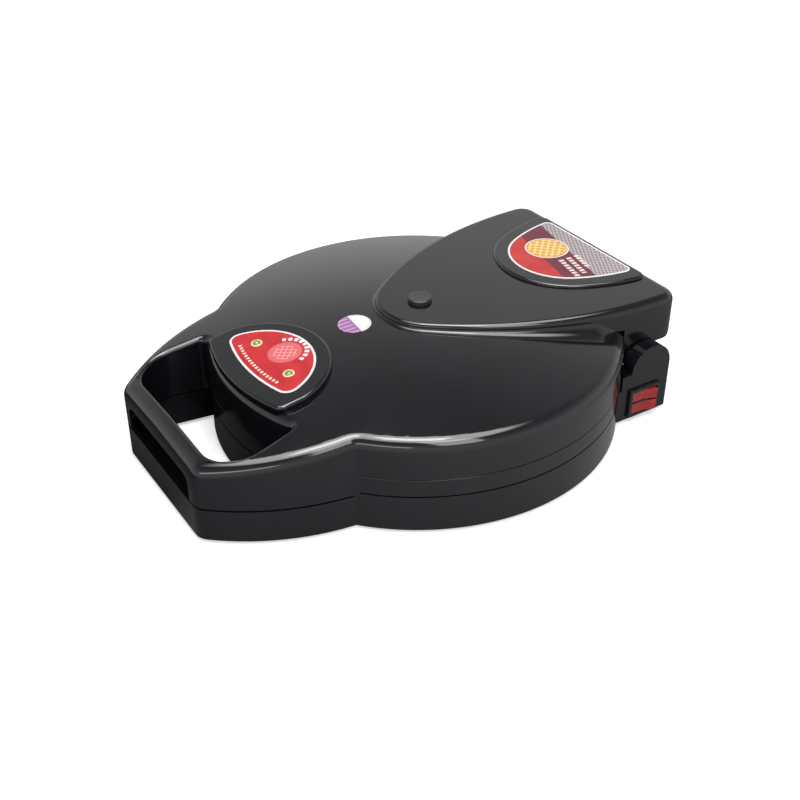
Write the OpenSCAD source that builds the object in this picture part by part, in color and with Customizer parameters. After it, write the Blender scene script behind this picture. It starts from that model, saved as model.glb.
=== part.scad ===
// Waffle cone maker: a round two-plate baking iron with a loop handle, a domed lid,
// a raised bridge that carries the lid to the hinge, and a double rocker switch.
// Millimetres, +Z up, handle towards -Y, hinge towards +Y.
// The origin is on the resting surface, below the middle of the outline.

/* [Round body] */
// Radius of the round body
body_r = 165; // [158:1:172]
// Height of the base rim above the base's underside
base_h = 29; // [28:0.5:32]
// Gap between the base rim and the lid ring
part_gap = 1; // [0.8:0.1:1.5]
// Height of the lid ring's outer band
ring_h = 14; // [12:0.5:16]
// Height and depth of the shadow groove above the lid ring
groove = 0.8; // [0.5:0.1:1.2]
// Height of the lid's crown above the base's underside
crown_h = 90.5; // [88:0.5:94]
// Radius of the sphere that the lid's top follows
dome_r = 880; // [820:10:940]
// Radius of the round edge between the lid's wall and its top
edge_r = 8; // [6:0.5:9]
// Thickness of the moulded walls
wall = 3; // [2.6:0.1:3.4]
// Depth of the flat rear inside the round body
rear_cut = 7; // [6:0.5:9]

/* [Loop handle] */
// How far the handle reaches in front of the round body
handle_l = 59; // [51:1:67]
// Radius of the long arc of each handle arm
arm_r = 174; // [170:1:178]
// Sideways offset of the centre of that arc
arm_cx = 62.5; // [61:0.5:65]
// Distance from the handle's front back to the centre of that arc
arm_back = 120; // [116:1:124]
// Radius of the handle's front corners
corner_r = 13; // [10:1:15]
// Width of the bar in front of the finger hole
bar_w = 14; // [12:0.5:16]
// Width of each arm beside the finger hole
arm_w = 15.5; // [14:0.5:19]
// Radius of the finger hole's front corners
hole_corner_r = 28; // [26:1:32]
// How much the finger hole narrows to each side, towards the round body
hole_taper = 5.5; // [3:0.5:8]
// Height of the base's handle above its underside
base_arm_h = 26; // [24:0.5:27]
// Gap between the two halves of the handle
arm_gap = 1.5; // [1:0.1:2]
// Distance from the side of the finger hole to the end of the finger slot
slot_end = 24.5; // [22:0.5:30]
// Height of the finger slot's upper edge above the base's underside
slot_top = 48; // [44:0.5:50]
// Radius of the finger slot's upper corners
slot_r = 8; // [5:0.5:10]

/* [Bridge over the lid] */
// Length of the bridge
bridge_l = 217; // [213:1:221]
// Radius of the bridge's long side arcs
bridge_r = 297; // [290:1:304]
// Half width of the bridge where it is widest
bridge_half_w = 101; // [99:0.5:103]
// Distance from there to the bridge's rear face
bridge_widest = 13; // [8:1:16]
// How far the tail reaches behind the round body
tail_l = 22; // [20:1:25]
// Height of the tail's lower edge above the base's underside
tail_bottom = 57; // [56:0.5:60]
// Radius of the tail's lower rear corner
tail_corner_r = 12; // [10:1:14]
// Radius of the tail's upper rear edge
tail_top_r = 5; // [4:0.5:6]
// Thickness of the bridge's walls
bridge_wall = 2.5; // [2:0.1:2.8]

/* [Hinge] */
// How far the hinge axis lies inside the radius of the round body
hinge_in = 13; // [11:0.5:14]
// Height of the hinge axis above the base's underside
hinge_z = 42; // [41:0.5:43]
// Radius of the rounded top of each hinge ear
ear_r = 20; // [18:0.5:20.5]
// Gap between the tail and each ear
tail_gap = 0.5; // [0.4:0.1:1]
// Thickness of each ear
ear_w = 11.5; // [11:0.5:12]
// Radius of the hinge pins
pin_r = 4; // [3.5:0.1:4.5]
// Radial running clearance of the pins in their bushes
pin_clear = 0.05; // [0.03:0.01:0.08]
// Thickness of the steel hinge bracket
bracket_t = 2; // [1.8:0.1:2]

/* [Baking plates] */
// Width of the rim around the baking plates
plate_margin = 33; // [29:1:39]
// Thickness of the cast plates
plate_t = 10; // [9:0.5:11]
// Depth of the baking surface below the rim
bake_d = 1.15; // [0.8:0.05:1.6]
// Gap between the closed rims
rim_gap = 0.3; // [0.2:0.05:0.4]
// Distance between the waffle grooves
grid_pitch = 20; // [16:1:24]
// Width of the waffle grooves
grid_w = 2.4; // [1.6:0.1:3]
// Depth of the waffle grooves
grid_d = 1.2; // [0.8:0.1:1.6]
// Radius of the heating tubes
heater_r = 4; // [3.5:0.25:4.25]
// Distance from the plate's edge to the ring that each heating tube is bent to
heater_in = 47; // [40:1:54]

/* [Switch] */
// Length of the switch bezel
bezel_l = 31; // [30:0.5:32]
// Height of the switch bezel
bezel_h = 25; // [24.5:0.25:26]
// How far the switch's centre lies in front of the hinge axis
switch_ahead = 5.5; // [5:0.25:6]
// Height of the switch's centre above the base's underside
switch_z = 14.5; // [14:0.25:14.5]
// Angle between the rockers' two positions
rocker_swing = 20; // [12:1:20]

/* [Labels, lamps and feet] */
// Height of the indicator pad above the lid
pad_h = 3.5; // [2.5:0.25:4.5]
// Height of the rear label's pad above the bridge
rear_pad_h = 2.5; // [2:0.25:3.5]
// Thickness of the labels
label_t = 0.4; // [0.3:0.1:0.6]
// Radius of the lamp lenses
lens_r = 3; // [2.5:0.25:3.5]
// Radius of the round sticker
sticker_r = 13; // [10:0.5:15]
// Height of the rubber feet
foot_h = 3; // [2.5:0.5:5]
// Radius of the rubber feet
foot_r = 8; // [6:0.5:10]

/* [Hidden] */
$fn = 96;

far = 400;                       // further than any outline reaches
tiny = 0.02;                     // play between pieces that are seated on each other
fit = 0.3;                       // play between moulded pieces
front_reach = body_r + handle_l;
rear_reach = body_r + tail_l;
rear_flat = body_r - rear_cut;
hinge_y = body_r - hinge_in;
plate_r = body_r - plate_margin;
heater_ring_r = plate_r - heater_in;
axis_y = (front_reach - rear_reach) / 2;
mid_z = base_h + part_gap / 2;   // plane in which the two plates meet
ring_z = base_h + part_gap;      // underside of the lid ring
shell_z = ring_z + ring_h + groove;
arm_z = base_arm_h + arm_gap;    // underside of the lid's handle
dome_cz = crown_h - dome_r;      // height of the dome sphere's centre
bridge_top = crown_h + bracket_t + bridge_wall;
bridge_tip = bridge_l - rear_reach;
bridge_cx = bridge_r - bridge_half_w;
bridge_cy = rear_reach - bridge_widest;
arm_cy = front_reach - arm_back;
hole_cy = front_reach - bar_w - hole_corner_r;
hole_half_w = sqrt(arm_r * arm_r - pow(hole_cy - arm_cy, 2)) - arm_cx - arm_w;
hole_root_half_w = hole_half_w - hole_taper;
slot_half_w = hole_half_w - slot_end;

// Flange, seat lip and shield, measured away from the plane between the plates
flange_h = part_gap / 2;
seat_h = flange_h + wall;
lip_h = seat_h + wall;
lip_r = plate_r - 10;
face_h = rim_gap / 2 + bake_d;
back_h = face_h + plate_t;
heater_h = back_h + 5;
shield_h = heater_h + heater_r + 1;
shield_t = 0.8;
shield_r = lip_r + 8;
rim_w = 4;                       // width of the plates' raised rims
stud_n = 3;
stem_top = 3.2;                  // how far the heater's pins stand above the shield
wire_r = 0.9;
wire_play = 0.5;
wire_hole_r = 17;
wire_rise = 2.6;                 // height of the leads above the shield
blade_x = 5;
blade_w = 4.8;
fuse_l = 18;
fuse_y = 32;
stud_r = 5;
stud_pcr = lip_r - 12;
heater_sweep = 318;
post_r = heater_r - 0.5;         // the tube's two ends, turned up
post_turn = 4;
fuse_r = 2.2;
screw_r = 1.7;
head_r = 3.4;
head_h = 2.2;
ring_screw_l = 12;
boss_r = 4.6;
boss_n = 6;
boss_pcr = (body_r + plate_r) / 2 + 4;
cover_t = 2;
block_gap = 4.65;                // between the terminal block and the nearest boss
spigot_w = 3;
spigot_h = 5;

// Hinge
ear_in = bridge_half_w + tail_gap;
ear_out = ear_in + ear_w;
pod_in = ear_out - 33.5;         // inner side of the pods' lower boxes
pod_h = 27;
pod_roof = 1.6;
pod_y = rear_reach - 24;         // rear of the boxes beside the tail
pod_sink = 8;                    // how far the pods run into the round body
pod_front = sqrt(body_r * body_r - ear_out * ear_out) - pod_sink;
swing_front = 17;                // how far in front of the hinge the rim makes room
swing_depth = 2;
lid_swing = 1.8;                 // room between the ears and the lid's round wall
bush_wall = 2;
bush_l = ear_w - 2.5;
lug_t = 3;
lug_r = 11;
lug_play = 1.7;
lug_out = bridge_x(hinge_y - lug_r) - bridge_wall - lug_play;
lug_rise = 18;                   // how far the lugs overlap the cross plate
pin_head = 2.5;
cross_y = rear_flat + 4;         // front of the bracket's cross plate
cross_low = hinge_z - 6;         // its lower edge
strap_half_w = 22;
strap_z = crown_h;
strap_front = 16;                // how far the strap reaches in front of its screw
bridge_screw_y = 34 - bridge_tip;
bridge_bolt_r = 2.5;
cross_screw_x = 30;
cross_screw_z = 66;
cross_screw_l = 7;
plug_r = 9.5;
plug_h = 3.6;
plug_crown = 1.6;                // rise of the plug's domed top

// Cord gland, in the left ear
gland_r = 4.2;
gland_x = ear_in + (ear_w - wall) / 2 + 0.6;
gland_z = 13;
cord_r = 3.3;
gland_flange_r = gland_r + 1.2;

// Pads, labels, lamps
pad_cy = body_r - 20.5;
pad_lip = 1.5;                   // from the pad's front to the lid's wall
pad_r = 59.5;
pad_depth = 12;
pad_front_r = body_r - pad_lip;
pad_half_w = pad_r - 1.5;
pad_mid_y = pad_cy - 23.5;       // where the pad's flat top is parallel to the dome
pad_tilt = asin(pad_mid_y / dome_r);
label_inset = 11.5;
label_front_inset = 15;
lamp_x = 25.5;
lamp_y = pad_cy - 17.5;
lamp_stem = 14;                  // how far the lenses reach down to their board
board_margin = 8;
board_t = 1.6;
rear_pad_tip = rear_reach - 97;
rear_pad_r = 150;
rear_pad_cx = rear_pad_r - 68;
rear_pad_cy = rear_reach + 2;
rear_pad_end = 6;
rear_label_inset = 12;
rear_label_end = 4;
sticker_at = [-5, -bridge_tip - 23];

// Switch
switch_y = hinge_y - switch_ahead;
bezel_t = 2.5;
body_l = bezel_l - 6;
body_h = bezel_h - 4;
switch_depth = 22;
rocker_l = 23;
rocker_gap = 1.2;
rocker_w = (body_h - 1 - rocker_gap) / 2;
window_play = 0.3;
rocker_pivot = 2;                // depth of the rocker pivots behind the ear's face
rocker_pin_r = 1.1;
rocker_rise = 6;                 // height of the rocker's ends above its pivot

foot_turn = 41.35;
foot_at = [for (s = [-1, 1]) (body_r - 31.8) * [cos(foot_turn), s * sin(foot_turn)]];

// Half width of the bridge behind its nose
function bridge_x(y) = sqrt(pow(bridge_r, 2) - pow(bridge_cy - y, 2)) - bridge_cx;

function dome_z(x, y) = dome_cz + sqrt(dome_r * dome_r - x * x - y * y);

// Everything is drawn around the plate axis and moved to the frame at the end.
module in_frame() {
    translate([0, axis_y, foot_h]) children();
}

module both_sides() {
    for (s = [0, 1]) mirror([s, 0, 0]) children();
}

module around(n, r, turn = 0) {
    for (i = [0:n - 1]) rotate(turn + i * 360 / n) translate([r, 0, 0]) children();
}

// Upper half: away from the plane between the plates, towards the lid.
module upper_half() {
    translate([0, 0, mid_z]) children();
}

module lower_half() {
    translate([0, 0, mid_z]) mirror([0, 0, 1]) children();
}

// A rod between two points, with a round joint at its start.
module rod(p, q, r) {
    v = q - p;
    translate(p) rotate([0, acos(v.z / norm(v)), atan2(v.y, v.x)])
        cylinder(h = norm(v), r = r, $fn = 8);
    translate(p) sphere(r = r, $fn = 8);
}

module wire(points, r) {
    for (i = [0:len(points) - 2]) rod(points[i], points[i + 1], r);
    translate(points[len(points) - 1]) sphere(r = r, $fn = 8);
}

// A shape drawn in the Y-Z plane and pushed along X between two places.
module along_x(x0, x1) {
    translate([x0, 0, 0]) rotate([90, 0, 90]) linear_extrude(x1 - x0) children();
}

// ---- Outlines ----

// Two long arcs that close in a round nose at y = tip, cut off straight at y = rear.
module arch_plan(tip, side_r, cx, cy, rear) {
    d = cy - tip;
    nose_r = (side_r * side_r - cx * cx - d * d) / (2 * (side_r - d));
    meet_y = cy - side_r * (d - nose_r) / (side_r - nose_r);
    intersection() {
        union() {
            translate([0, tip + nose_r]) circle(r = nose_r);
            intersection() {
                translate([-cx, cy]) circle(r = side_r);
                translate([cx, cy]) circle(r = side_r);
                translate([-far, meet_y]) square(2 * far);
            }
        }
        translate([-far, rear - 2 * far]) square(2 * far);
    }
}

// Points of an arc, from angle a0 to a1.
function arc(c, r, a0, a1, n) =
    [for (i = [0:n]) c + r * [cos(a0 + (a1 - a0) * i / n), sin(a0 + (a1 - a0) * i / n)]];

// Points drawn for the right side, closed with their mirror images on the left.
module mirrored_polygon(right) {
    last = len(right) - 1;
    polygon(concat(right, [for (i = [0:last]) [-right[last - i].x, right[last - i].y]]));
}

// Outline of the handle's outside, inset evenly, back to inside the round body.
module handle_plan(inset = 0) {
    long_r = arm_r - inset;
    small_r = corner_r - inset;
    long_c = [-arm_cx, -arm_cy];
    dy = front_reach - corner_r - arm_cy;
    small_c = [sqrt(pow(arm_r - corner_r, 2) - dy * dy) - arm_cx, corner_r - front_reach];
    turn = atan2(small_c.y - long_c.y, small_c.x - long_c.x);
    mirrored_polygon(concat(arc(small_c, small_r, -90, turn, 6),
        arc(long_c, long_r, turn + 2, 15, 20)));
}

// Direction in which the tangent from point p touches a circle.
function tangent_dir(c, r, p) =
    let (v = p - c, a = atan2(v.y, v.x), b = acos(r / norm(v))) a - b;

// Outline of the finger hole, continued into the round body.
module hole_plan(grow = 0) {
    r = hole_corner_r + grow;
    c = [hole_half_w - hole_corner_r, -hole_cy];
    root = [hole_root_half_w + grow, 8 - sqrt(body_r * body_r - pow(hole_root_half_w, 2))];
    mirrored_polygon(concat(arc(c, r, -90, tangent_dir(c, r, root), 10), [root]));
}

module round_plan(r, flat) {
    intersection() {
        circle(r = r);
        translate([-far, -far]) square([2 * far, far + flat]);
    }
}

// The handle's loop, from a distance to the plate axis outwards.
module loop_plan(inset, from_r) {
    difference() {
        handle_plan(inset);
        hole_plan(inset);
        circle(r = from_r);
    }
}

// Indicator pad: a round back closed by an arc around the plate axis, with cut corners.
module pad_plan(inset = 0, front_inset = 0) {
    intersection() {
        translate([0, -pad_cy]) circle(r = pad_r - inset);
        circle(r = pad_front_r - front_inset);
        translate([inset - pad_half_w, -far]) square([2 * (pad_half_w - inset), far]);
    }
}

module bridge_plan(inset = 0) {
    arch_plan(inset - bridge_tip, bridge_r - inset, bridge_cx, bridge_cy, rear_reach - inset);
}

module rear_pad_plan(inset = 0, end = 0) {
    arch_plan(rear_pad_tip + inset, rear_pad_r - inset, rear_pad_cx, rear_pad_cy,
        rear_reach - end);
}

// ---- Solids that the shells share ----

// Everything below the sphere that the lid's top follows.
module dome(grow = 0) {
    rotate_extrude($fn = 192) intersection() {
        translate([0, dome_cz]) circle(r = dome_r + grow, $fn = 720);
        square([front_reach + 30, crown_h + 10]);
    }
}

// Half section of the round part of the lid, with its round edge.
module lid_section(inset = 0) {
    edge_x = body_r - edge_r;
    edge_z = dome_cz + sqrt(pow(dome_r - edge_r, 2) - edge_x * edge_x);
    beyond = 3 * edge_r;
    difference() {
        intersection() {
            translate([0, dome_cz]) circle(r = dome_r - inset, $fn = 720);
            square([body_r - inset, crown_h + 10]);
        }
        // What lies outside the round edge
        difference() {
            translate([edge_x, edge_z]) square(beyond);
            translate([edge_x, edge_z]) circle(r = edge_r - inset);
            polygon([[edge_x, edge_z], [edge_x, edge_z + beyond],
                [edge_x + beyond * edge_x / (dome_r - edge_r), edge_z + beyond]]);
        }
    }
}

// ---- Base ----

module pod_outside() {
    // Ear beside the tail, rounded around the hinge axis
    difference() {
        along_x(ear_in, ear_out) {
            translate([pod_front, 0]) square([hinge_y + ear_r - pod_front, hinge_z]);
            translate([hinge_y, hinge_z]) circle(r = ear_r);
        }
        translate([0, 0, base_h - tiny]) cylinder(h = far, r = body_r + lid_swing);
    }
    // Lower box that holds the switch or the terminals
    translate([pod_in, pod_front, 0]) cube([ear_out - pod_in, pod_y - pod_front, pod_h]);
}

module pod_inside() {
    translate([pod_in + wall, pod_front - 14, -1])
        cube([ear_out - pod_in - 2 * wall, pod_y - pod_front + 14 - wall, pod_h + 1 - pod_roof]);
    translate([ear_in, pod_front - 14, -1])
        cube([ear_w - wall, hinge_y + ear_r - pod_front + 14 - wall, pod_h + 1 - pod_roof]);
}

module base_plan(inset) {
    round_plan(body_r - inset, rear_flat - 2 - inset);
    both_sides() {
        translate([pod_in + inset, pod_front])
            square([ear_out - pod_in - 2 * inset, pod_y - pod_front - inset]);
        translate([ear_in, pod_front])
            square([ear_w - inset, hinge_y + ear_r - pod_front - inset]);
    }
}

module base_shell() {
    color([0.09, 0.08, 0.09]) in_frame() {
        difference() {
            union() {
                linear_extrude(base_h) round_plan(body_r, rear_flat - 2);
                linear_extrude(base_arm_h) handle_plan();
                both_sides() pod_outside();
            }
            // Finger hole
            translate([0, 0, -1]) linear_extrude(far) difference() {
                hole_plan();
                circle(r = body_r);
            }
            // Hollows, open downwards
            translate([0, 0, -1]) linear_extrude(base_arm_h + 1 - wall) loop_plan(wall, body_r);
            translate([0, 0, -1]) linear_extrude(mid_z - lip_h + 1)
                round_plan(body_r - wall, rear_flat - 2 - wall);
            translate([0, 0, -1]) linear_extrude(mid_z - seat_h + 1) difference() {
                round_plan(body_r - wall, rear_flat - 2 - wall);
                circle(r = plate_r + wall);
            }
            both_sides() pod_inside();
            // Opening for the lower plate, with the lip it rests on
            translate([0, 0, -1]) cylinder(h = far, r = lip_r);
            translate([0, 0, mid_z - seat_h]) cylinder(h = far, r = plate_r + fit);
            // Relief that lets the lid's rear edge swing past the rim
            translate([-ear_in, hinge_y - swing_front, base_h - swing_depth])
                cube([2 * ear_in, far, swing_depth + tiny]);
            // Hinge bores, closed at the outside
            both_sides() translate([ear_in - 1, hinge_y, hinge_z]) rotate([0, 90, 0])
                cylinder(h = bush_l + 1, r = pin_r + bush_wall + tiny);
            // Opening for the switch
            translate([ear_out - wall - 1, switch_y - body_l / 2 - tiny, switch_z - body_h / 2 - tiny])
                cube([far, body_l + 2 * tiny, body_h + 2 * tiny]);
            // Opening for the cord gland
            translate([-gland_x, hinge_y, gland_z]) rotate([-90, 0, 0])
                cylinder(h = far, r = gland_r + tiny);
        }
        // Bosses for the cover's screws
        around(boss_n, boss_pcr, 0) difference() {
            translate([0, 0, cover_t]) cylinder(h = mid_z - seat_h - cover_t + tiny, r = boss_r);
            translate([0, 0, cover_t - 1]) cylinder(h = 12, r = screw_r + tiny);
        }
    }
}

module cord_gland() {
    y0 = hinge_y + ear_r - wall - 4;
    color([0.12, 0.12, 0.12]) in_frame() translate([-gland_x, 0, gland_z]) rotate([-90, 0, 0])
        difference() {
            union() {
                translate([0, 0, y0]) cylinder(h = wall + 8, r = gland_r);
                translate([0, 0, y0 + wall + 4]) cylinder(h = 2, r = gland_flange_r);
            }
            translate([0, 0, y0 - 1]) cylinder(h = wall + 10, r = cord_r);
        }
}

module base_cover() {
    color([0.2, 0.2, 0.21]) in_frame() difference() {
        linear_extrude(cover_t) base_plan(wall + fit);
        translate([0, 0, -1]) around(boss_n, boss_pcr, 0) cylinder(h = 9, r = screw_r + fit);
        both_sides() for (p = foot_at) translate([p.x, p.y, -1]) cylinder(h = 9, r = foot_r / 2 + tiny);
        // Vents
        for (x = [-3:3]) translate([x * 12 - 2, -20, -1]) cube([4, 40, 9]);
    }
}

module rubber_feet() {
    color([0.13, 0.13, 0.13]) in_frame() both_sides() for (p = foot_at) translate([p.x, p.y, 0]) {
        translate([0, 0, -foot_h]) cylinder(h = foot_h, r = foot_r);
        cylinder(h = cover_t, r = foot_r / 2);
        translate([0, 0, cover_t]) cylinder(h = 1.5, r = foot_r / 2 + 1.2);
    }
}

module screw(length) {
    translate([0, 0, -head_h]) difference() {
        cylinder(h = head_h, r = head_r);
        for (a = [0, 90]) rotate(a) translate([-2, -0.4, -1]) cube([4, 0.8, 2]);
    }
    cylinder(h = length, r = screw_r);
}

module cover_screws() {
    color("silver") in_frame() around(boss_n, boss_pcr, 0) screw(10);
}

// ---- Plates and heaters, drawn away from the plane between the plates ----

module half_plate() {
    inner = plate_r - rim_w;
    n = ceil(inner / grid_pitch);
    difference() {
        union() {
            rotate_extrude() difference() {
                polygon([[0, face_h + grid_d], [inner, face_h + grid_d], [inner, rim_gap / 2],
                    [plate_r, rim_gap / 2], [plate_r, seat_h], [lip_r - fit, seat_h],
                    [lip_r - fit, back_h], [heater_ring_r + 8, back_h],
                    [heater_ring_r + 8, heater_h], [heater_ring_r - 8, heater_h],
                    [heater_ring_r - 8, back_h], [0, back_h]]);
                translate([heater_ring_r, heater_h]) circle(r = heater_r + 0.2);
            }
            // Waffle squares between the grooves
            translate([0, 0, face_h]) linear_extrude(grid_d + tiny) rotate(45) difference() {
                circle(r = inner + tiny);
                for (a = [0, 90], i = [-n:n]) rotate(a)
                    translate([(i + 0.5) * grid_pitch - grid_w / 2, -far]) square([grid_w, 2 * far]);
            }
            around(stud_n, stud_pcr, 90) translate([0, 0, back_h - 1])
                cylinder(h = shield_h - back_h + 1, r = stud_r);
        }
        around(stud_n, stud_pcr, 90) translate([0, 0, back_h + 1]) cylinder(h = far, r = screw_r + tiny);
    }
}

module half_heater() {
    turn = 90 + (360 - heater_sweep) / 2;
    rotate(turn) {
        rotate_extrude(angle = heater_sweep) translate([heater_ring_r, heater_h]) circle(r = heater_r);
        for (a = [post_turn, heater_sweep - post_turn]) rotate(a)
            translate([heater_ring_r, 0, heater_h]) {
                cylinder(h = shield_h - heater_h + 2.5, r = post_r);
                cylinder(h = shield_h - heater_h + stem_top, r = 1.2);
            }
    }
}

module half_shield() {
    turn = 90 + (360 - heater_sweep) / 2;
    side_r = lip_r + 1 + shield_t;
    difference() {
        rotate_extrude() polygon([[0, shield_h], [side_r - shield_t, shield_h],
            [side_r - shield_t, lip_h], [shield_r, lip_h], [shield_r, lip_h + shield_t],
            [side_r, lip_h + shield_t], [side_r, shield_h + shield_t], [0, shield_h + shield_t]]);
        around(stud_n, stud_pcr, 90) translate([0, 0, shield_h - 1]) cylinder(h = 9, r = screw_r + fit);
        rotate(turn) for (a = [post_turn, heater_sweep - post_turn]) rotate(a)
            translate([heater_ring_r, 0, shield_h - 1]) cylinder(h = 9, r = post_r + 1);
        translate([0, 0, shield_h - 1]) cylinder(h = 9, r = wire_hole_r);
    }
}

module half_screws() {
    around(stud_n, stud_pcr, 90) translate([0, 0, shield_h + shield_t]) mirror([0, 0, 1]) screw(9);
}

module half_thermostat() {
    translate([0, 0, back_h]) {
        translate([-12, -4, 0]) cube([24, 8, 0.8]);
        translate([0, 0, 0.8]) cylinder(h = 6.5, r = 8);
        for (s = [-1, 1]) translate([s * blade_x - 0.4, -blade_w / 2, 7.3]) cube([0.8, blade_w, 2.5]);
    }
}

module half_fuse() {
    translate([-fuse_l / 2, fuse_y, back_h + fuse_r]) rotate([0, 90, 0])
        cylinder(h = fuse_l, r = fuse_r);
    translate([-3, fuse_y - fuse_r - 2, back_h]) difference() {
        cube([6, 2 * fuse_r + 4, 2 * fuse_r + 0.8]);
        translate([-1, 2, -1]) cube([8, 2 * fuse_r, 2 * fuse_r + 1]);
    }
}

// Leads from the heater's pins over the shield, to the thermostat and to the fuse
module half_wiring() {
    turn = 90 + (360 - heater_sweep) / 2;
    over = shield_h + wire_rise;
    down = back_h + 8;
    side = heater_ring_r * 0.5;
    back = heater_ring_r * 0.72;
    beside = blade_w / 2 + wire_r + wire_play;
    stem_z = shield_h + stem_top + wire_r + wire_play;
    ends = [for (a = [turn + post_turn, turn + heater_sweep - post_turn])
        [heater_ring_r * cos(a), heater_ring_r * sin(a), stem_z]];
    wire([ends[0], [-side, back, over], [-blade_x - 3, 9.5, over], [-blade_x, beside, down]], wire_r);
    wire([ends[1], [side, back, over], [blade_x + 4, 10, over], [blade_x + 4, 12, back_h + 5],
        [fuse_l / 2 + wire_r + wire_play, fuse_y, back_h + fuse_r]], wire_r);
}

module lower_plate() {
    color([0.32, 0.32, 0.33]) in_frame() lower_half() half_plate();
}

module upper_plate() {
    color([0.32, 0.32, 0.33]) in_frame() upper_half() half_plate();
}

module lower_heater() {
    color([0.35, 0.33, 0.32]) in_frame() lower_half() half_heater();
}

module upper_heater() {
    color([0.35, 0.33, 0.32]) in_frame() upper_half() half_heater();
}

module lower_heat_shield() {
    color([0.72, 0.73, 0.74]) in_frame() lower_half() half_shield();
}

module upper_heat_shield() {
    color([0.72, 0.73, 0.74]) in_frame() upper_half() half_shield();
}

module lower_plate_screws() {
    color("silver") in_frame() lower_half() half_screws();
}

module upper_plate_screws() {
    color("silver") in_frame() upper_half() half_screws();
}

module lower_thermostat() {
    color([0.85, 0.82, 0.76]) in_frame() lower_half() half_thermostat();
}

module upper_thermostat() {
    color([0.85, 0.82, 0.76]) in_frame() upper_half() half_thermostat();
}

module lower_thermal_fuse() {
    color([0.6, 0.6, 0.62]) in_frame() lower_half() half_fuse();
}

module upper_thermal_fuse() {
    color([0.6, 0.6, 0.62]) in_frame() upper_half() half_fuse();
}

module lower_wiring() {
    color([0.9, 0.88, 0.82]) in_frame() lower_half() half_wiring();
}

module upper_wiring() {
    color([0.9, 0.88, 0.82]) in_frame() upper_half() half_wiring();
}

// Screw terminals on the cover, in the left pod
module terminal_block() {
    size = [13, 28, 12];
    pitch = 9;
    clamp_r = 2.4;
    bore_r = 1.8;
    at = [-boss_pcr * cos(60) - boss_r - block_gap - size.x, pod_front + 8, cover_t];
    color([0.93, 0.92, 0.88]) in_frame() translate(at) difference() {
        cube(size);
        for (i = [-1:1]) translate([0, size.y / 2 + i * pitch, 0]) {
            translate([size.x / 2, 0, 3]) cylinder(h = far, r = clamp_r);
            translate([-1, 0, 5]) rotate([0, 90, 0]) cylinder(h = far, r = bore_r);
        }
    }
}

// ---- Switch ----

module switch_housing() {
    color([0.07, 0.07, 0.07]) in_frame() translate([ear_out, switch_y, switch_z]) difference() {
        union() {
            translate([0, -bezel_l / 2, -bezel_h / 2]) cube([bezel_t, bezel_l, bezel_h]);
            translate([-switch_depth, -body_l / 2, -body_h / 2])
                cube([switch_depth + 1, body_l, body_h]);
        }
        for (s = [-1, 1]) translate([-9, -rocker_l / 2 - 1.6, s * (rocker_w + rocker_gap) / 2 - rocker_w / 2])
            cube([far, rocker_l + 3.2, rocker_w]);
    }
    // Pin that both rockers turn on
    color([0.07, 0.07, 0.07]) in_frame()
        translate([ear_out - rocker_pivot, switch_y, switch_z + 0.5 - body_h / 2])
            cylinder(h = body_h - 1, r = rocker_pin_r);
    // Blade terminals
    color([0.8, 0.75, 0.6]) in_frame()
        translate([ear_out - switch_depth, switch_y, switch_z])
            for (y = [-7, 0, 7], s = [-1, 1])
                translate([-5, y - 2.4, s * 5 - 0.4]) cube([5 + tiny, 4.8, 0.8]);
}

// One rocker: two facets that meet in a shallow valley, tipped to its rest position
module rocker(z) {
    half = rocker_l / 2;
    color([0.75, 0.05, 0.05]) in_frame() translate([ear_out - rocker_pivot, switch_y, z])
        rotate(-rocker_swing / 2)
            translate([0, 0, -rocker_w / 2 + window_play]) linear_extrude(rocker_w - 2 * window_play)
                difference() {
                    polygon([[rocker_rise, -half], [rocker_rise - 1.8, 0], [rocker_rise, half],
                        [0, half - 1], [-4.5, 4], [-4.5, -4], [0, 1 - half]]);
                    circle(r = rocker_pin_r + 0.1);
                }
}

module upper_rocker() {
    rocker(switch_z + (rocker_w + rocker_gap) / 2);
}

module lower_rocker() {
    rocker(switch_z - (rocker_w + rocker_gap) / 2);
}

// ---- Hinge ----

module hinge_bush() {
    color([0.8, 0.65, 0.35]) in_frame() translate([ear_in, hinge_y, hinge_z]) rotate([0, 90, 0])
        difference() {
            union() {
                cylinder(h = bush_l, r = pin_r + bush_wall);
                translate([0, 0, -1.2]) cylinder(h = 1.2, r = pin_r + bush_wall + 2);
            }
            translate([0, 0, -2]) cylinder(h = far, r = pin_r + pin_clear);
        }
}

module hinge_pin() {
    start = lug_out - lug_t - pin_head;
    color("silver") in_frame() translate([start, hinge_y, hinge_z]) rotate([0, 90, 0]) {
        cylinder(h = pin_head, r = pin_r + 2.5);
        cylinder(h = ear_in + bush_l - 0.5 - start, r = pin_r);
    }
}

module left_hinge_bush() {
    mirror([1, 0, 0]) hinge_bush();
}

module right_hinge_bush() {
    hinge_bush();
}

module left_hinge_pin() {
    mirror([1, 0, 0]) hinge_pin();
}

module right_hinge_pin() {
    hinge_pin();
}

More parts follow.
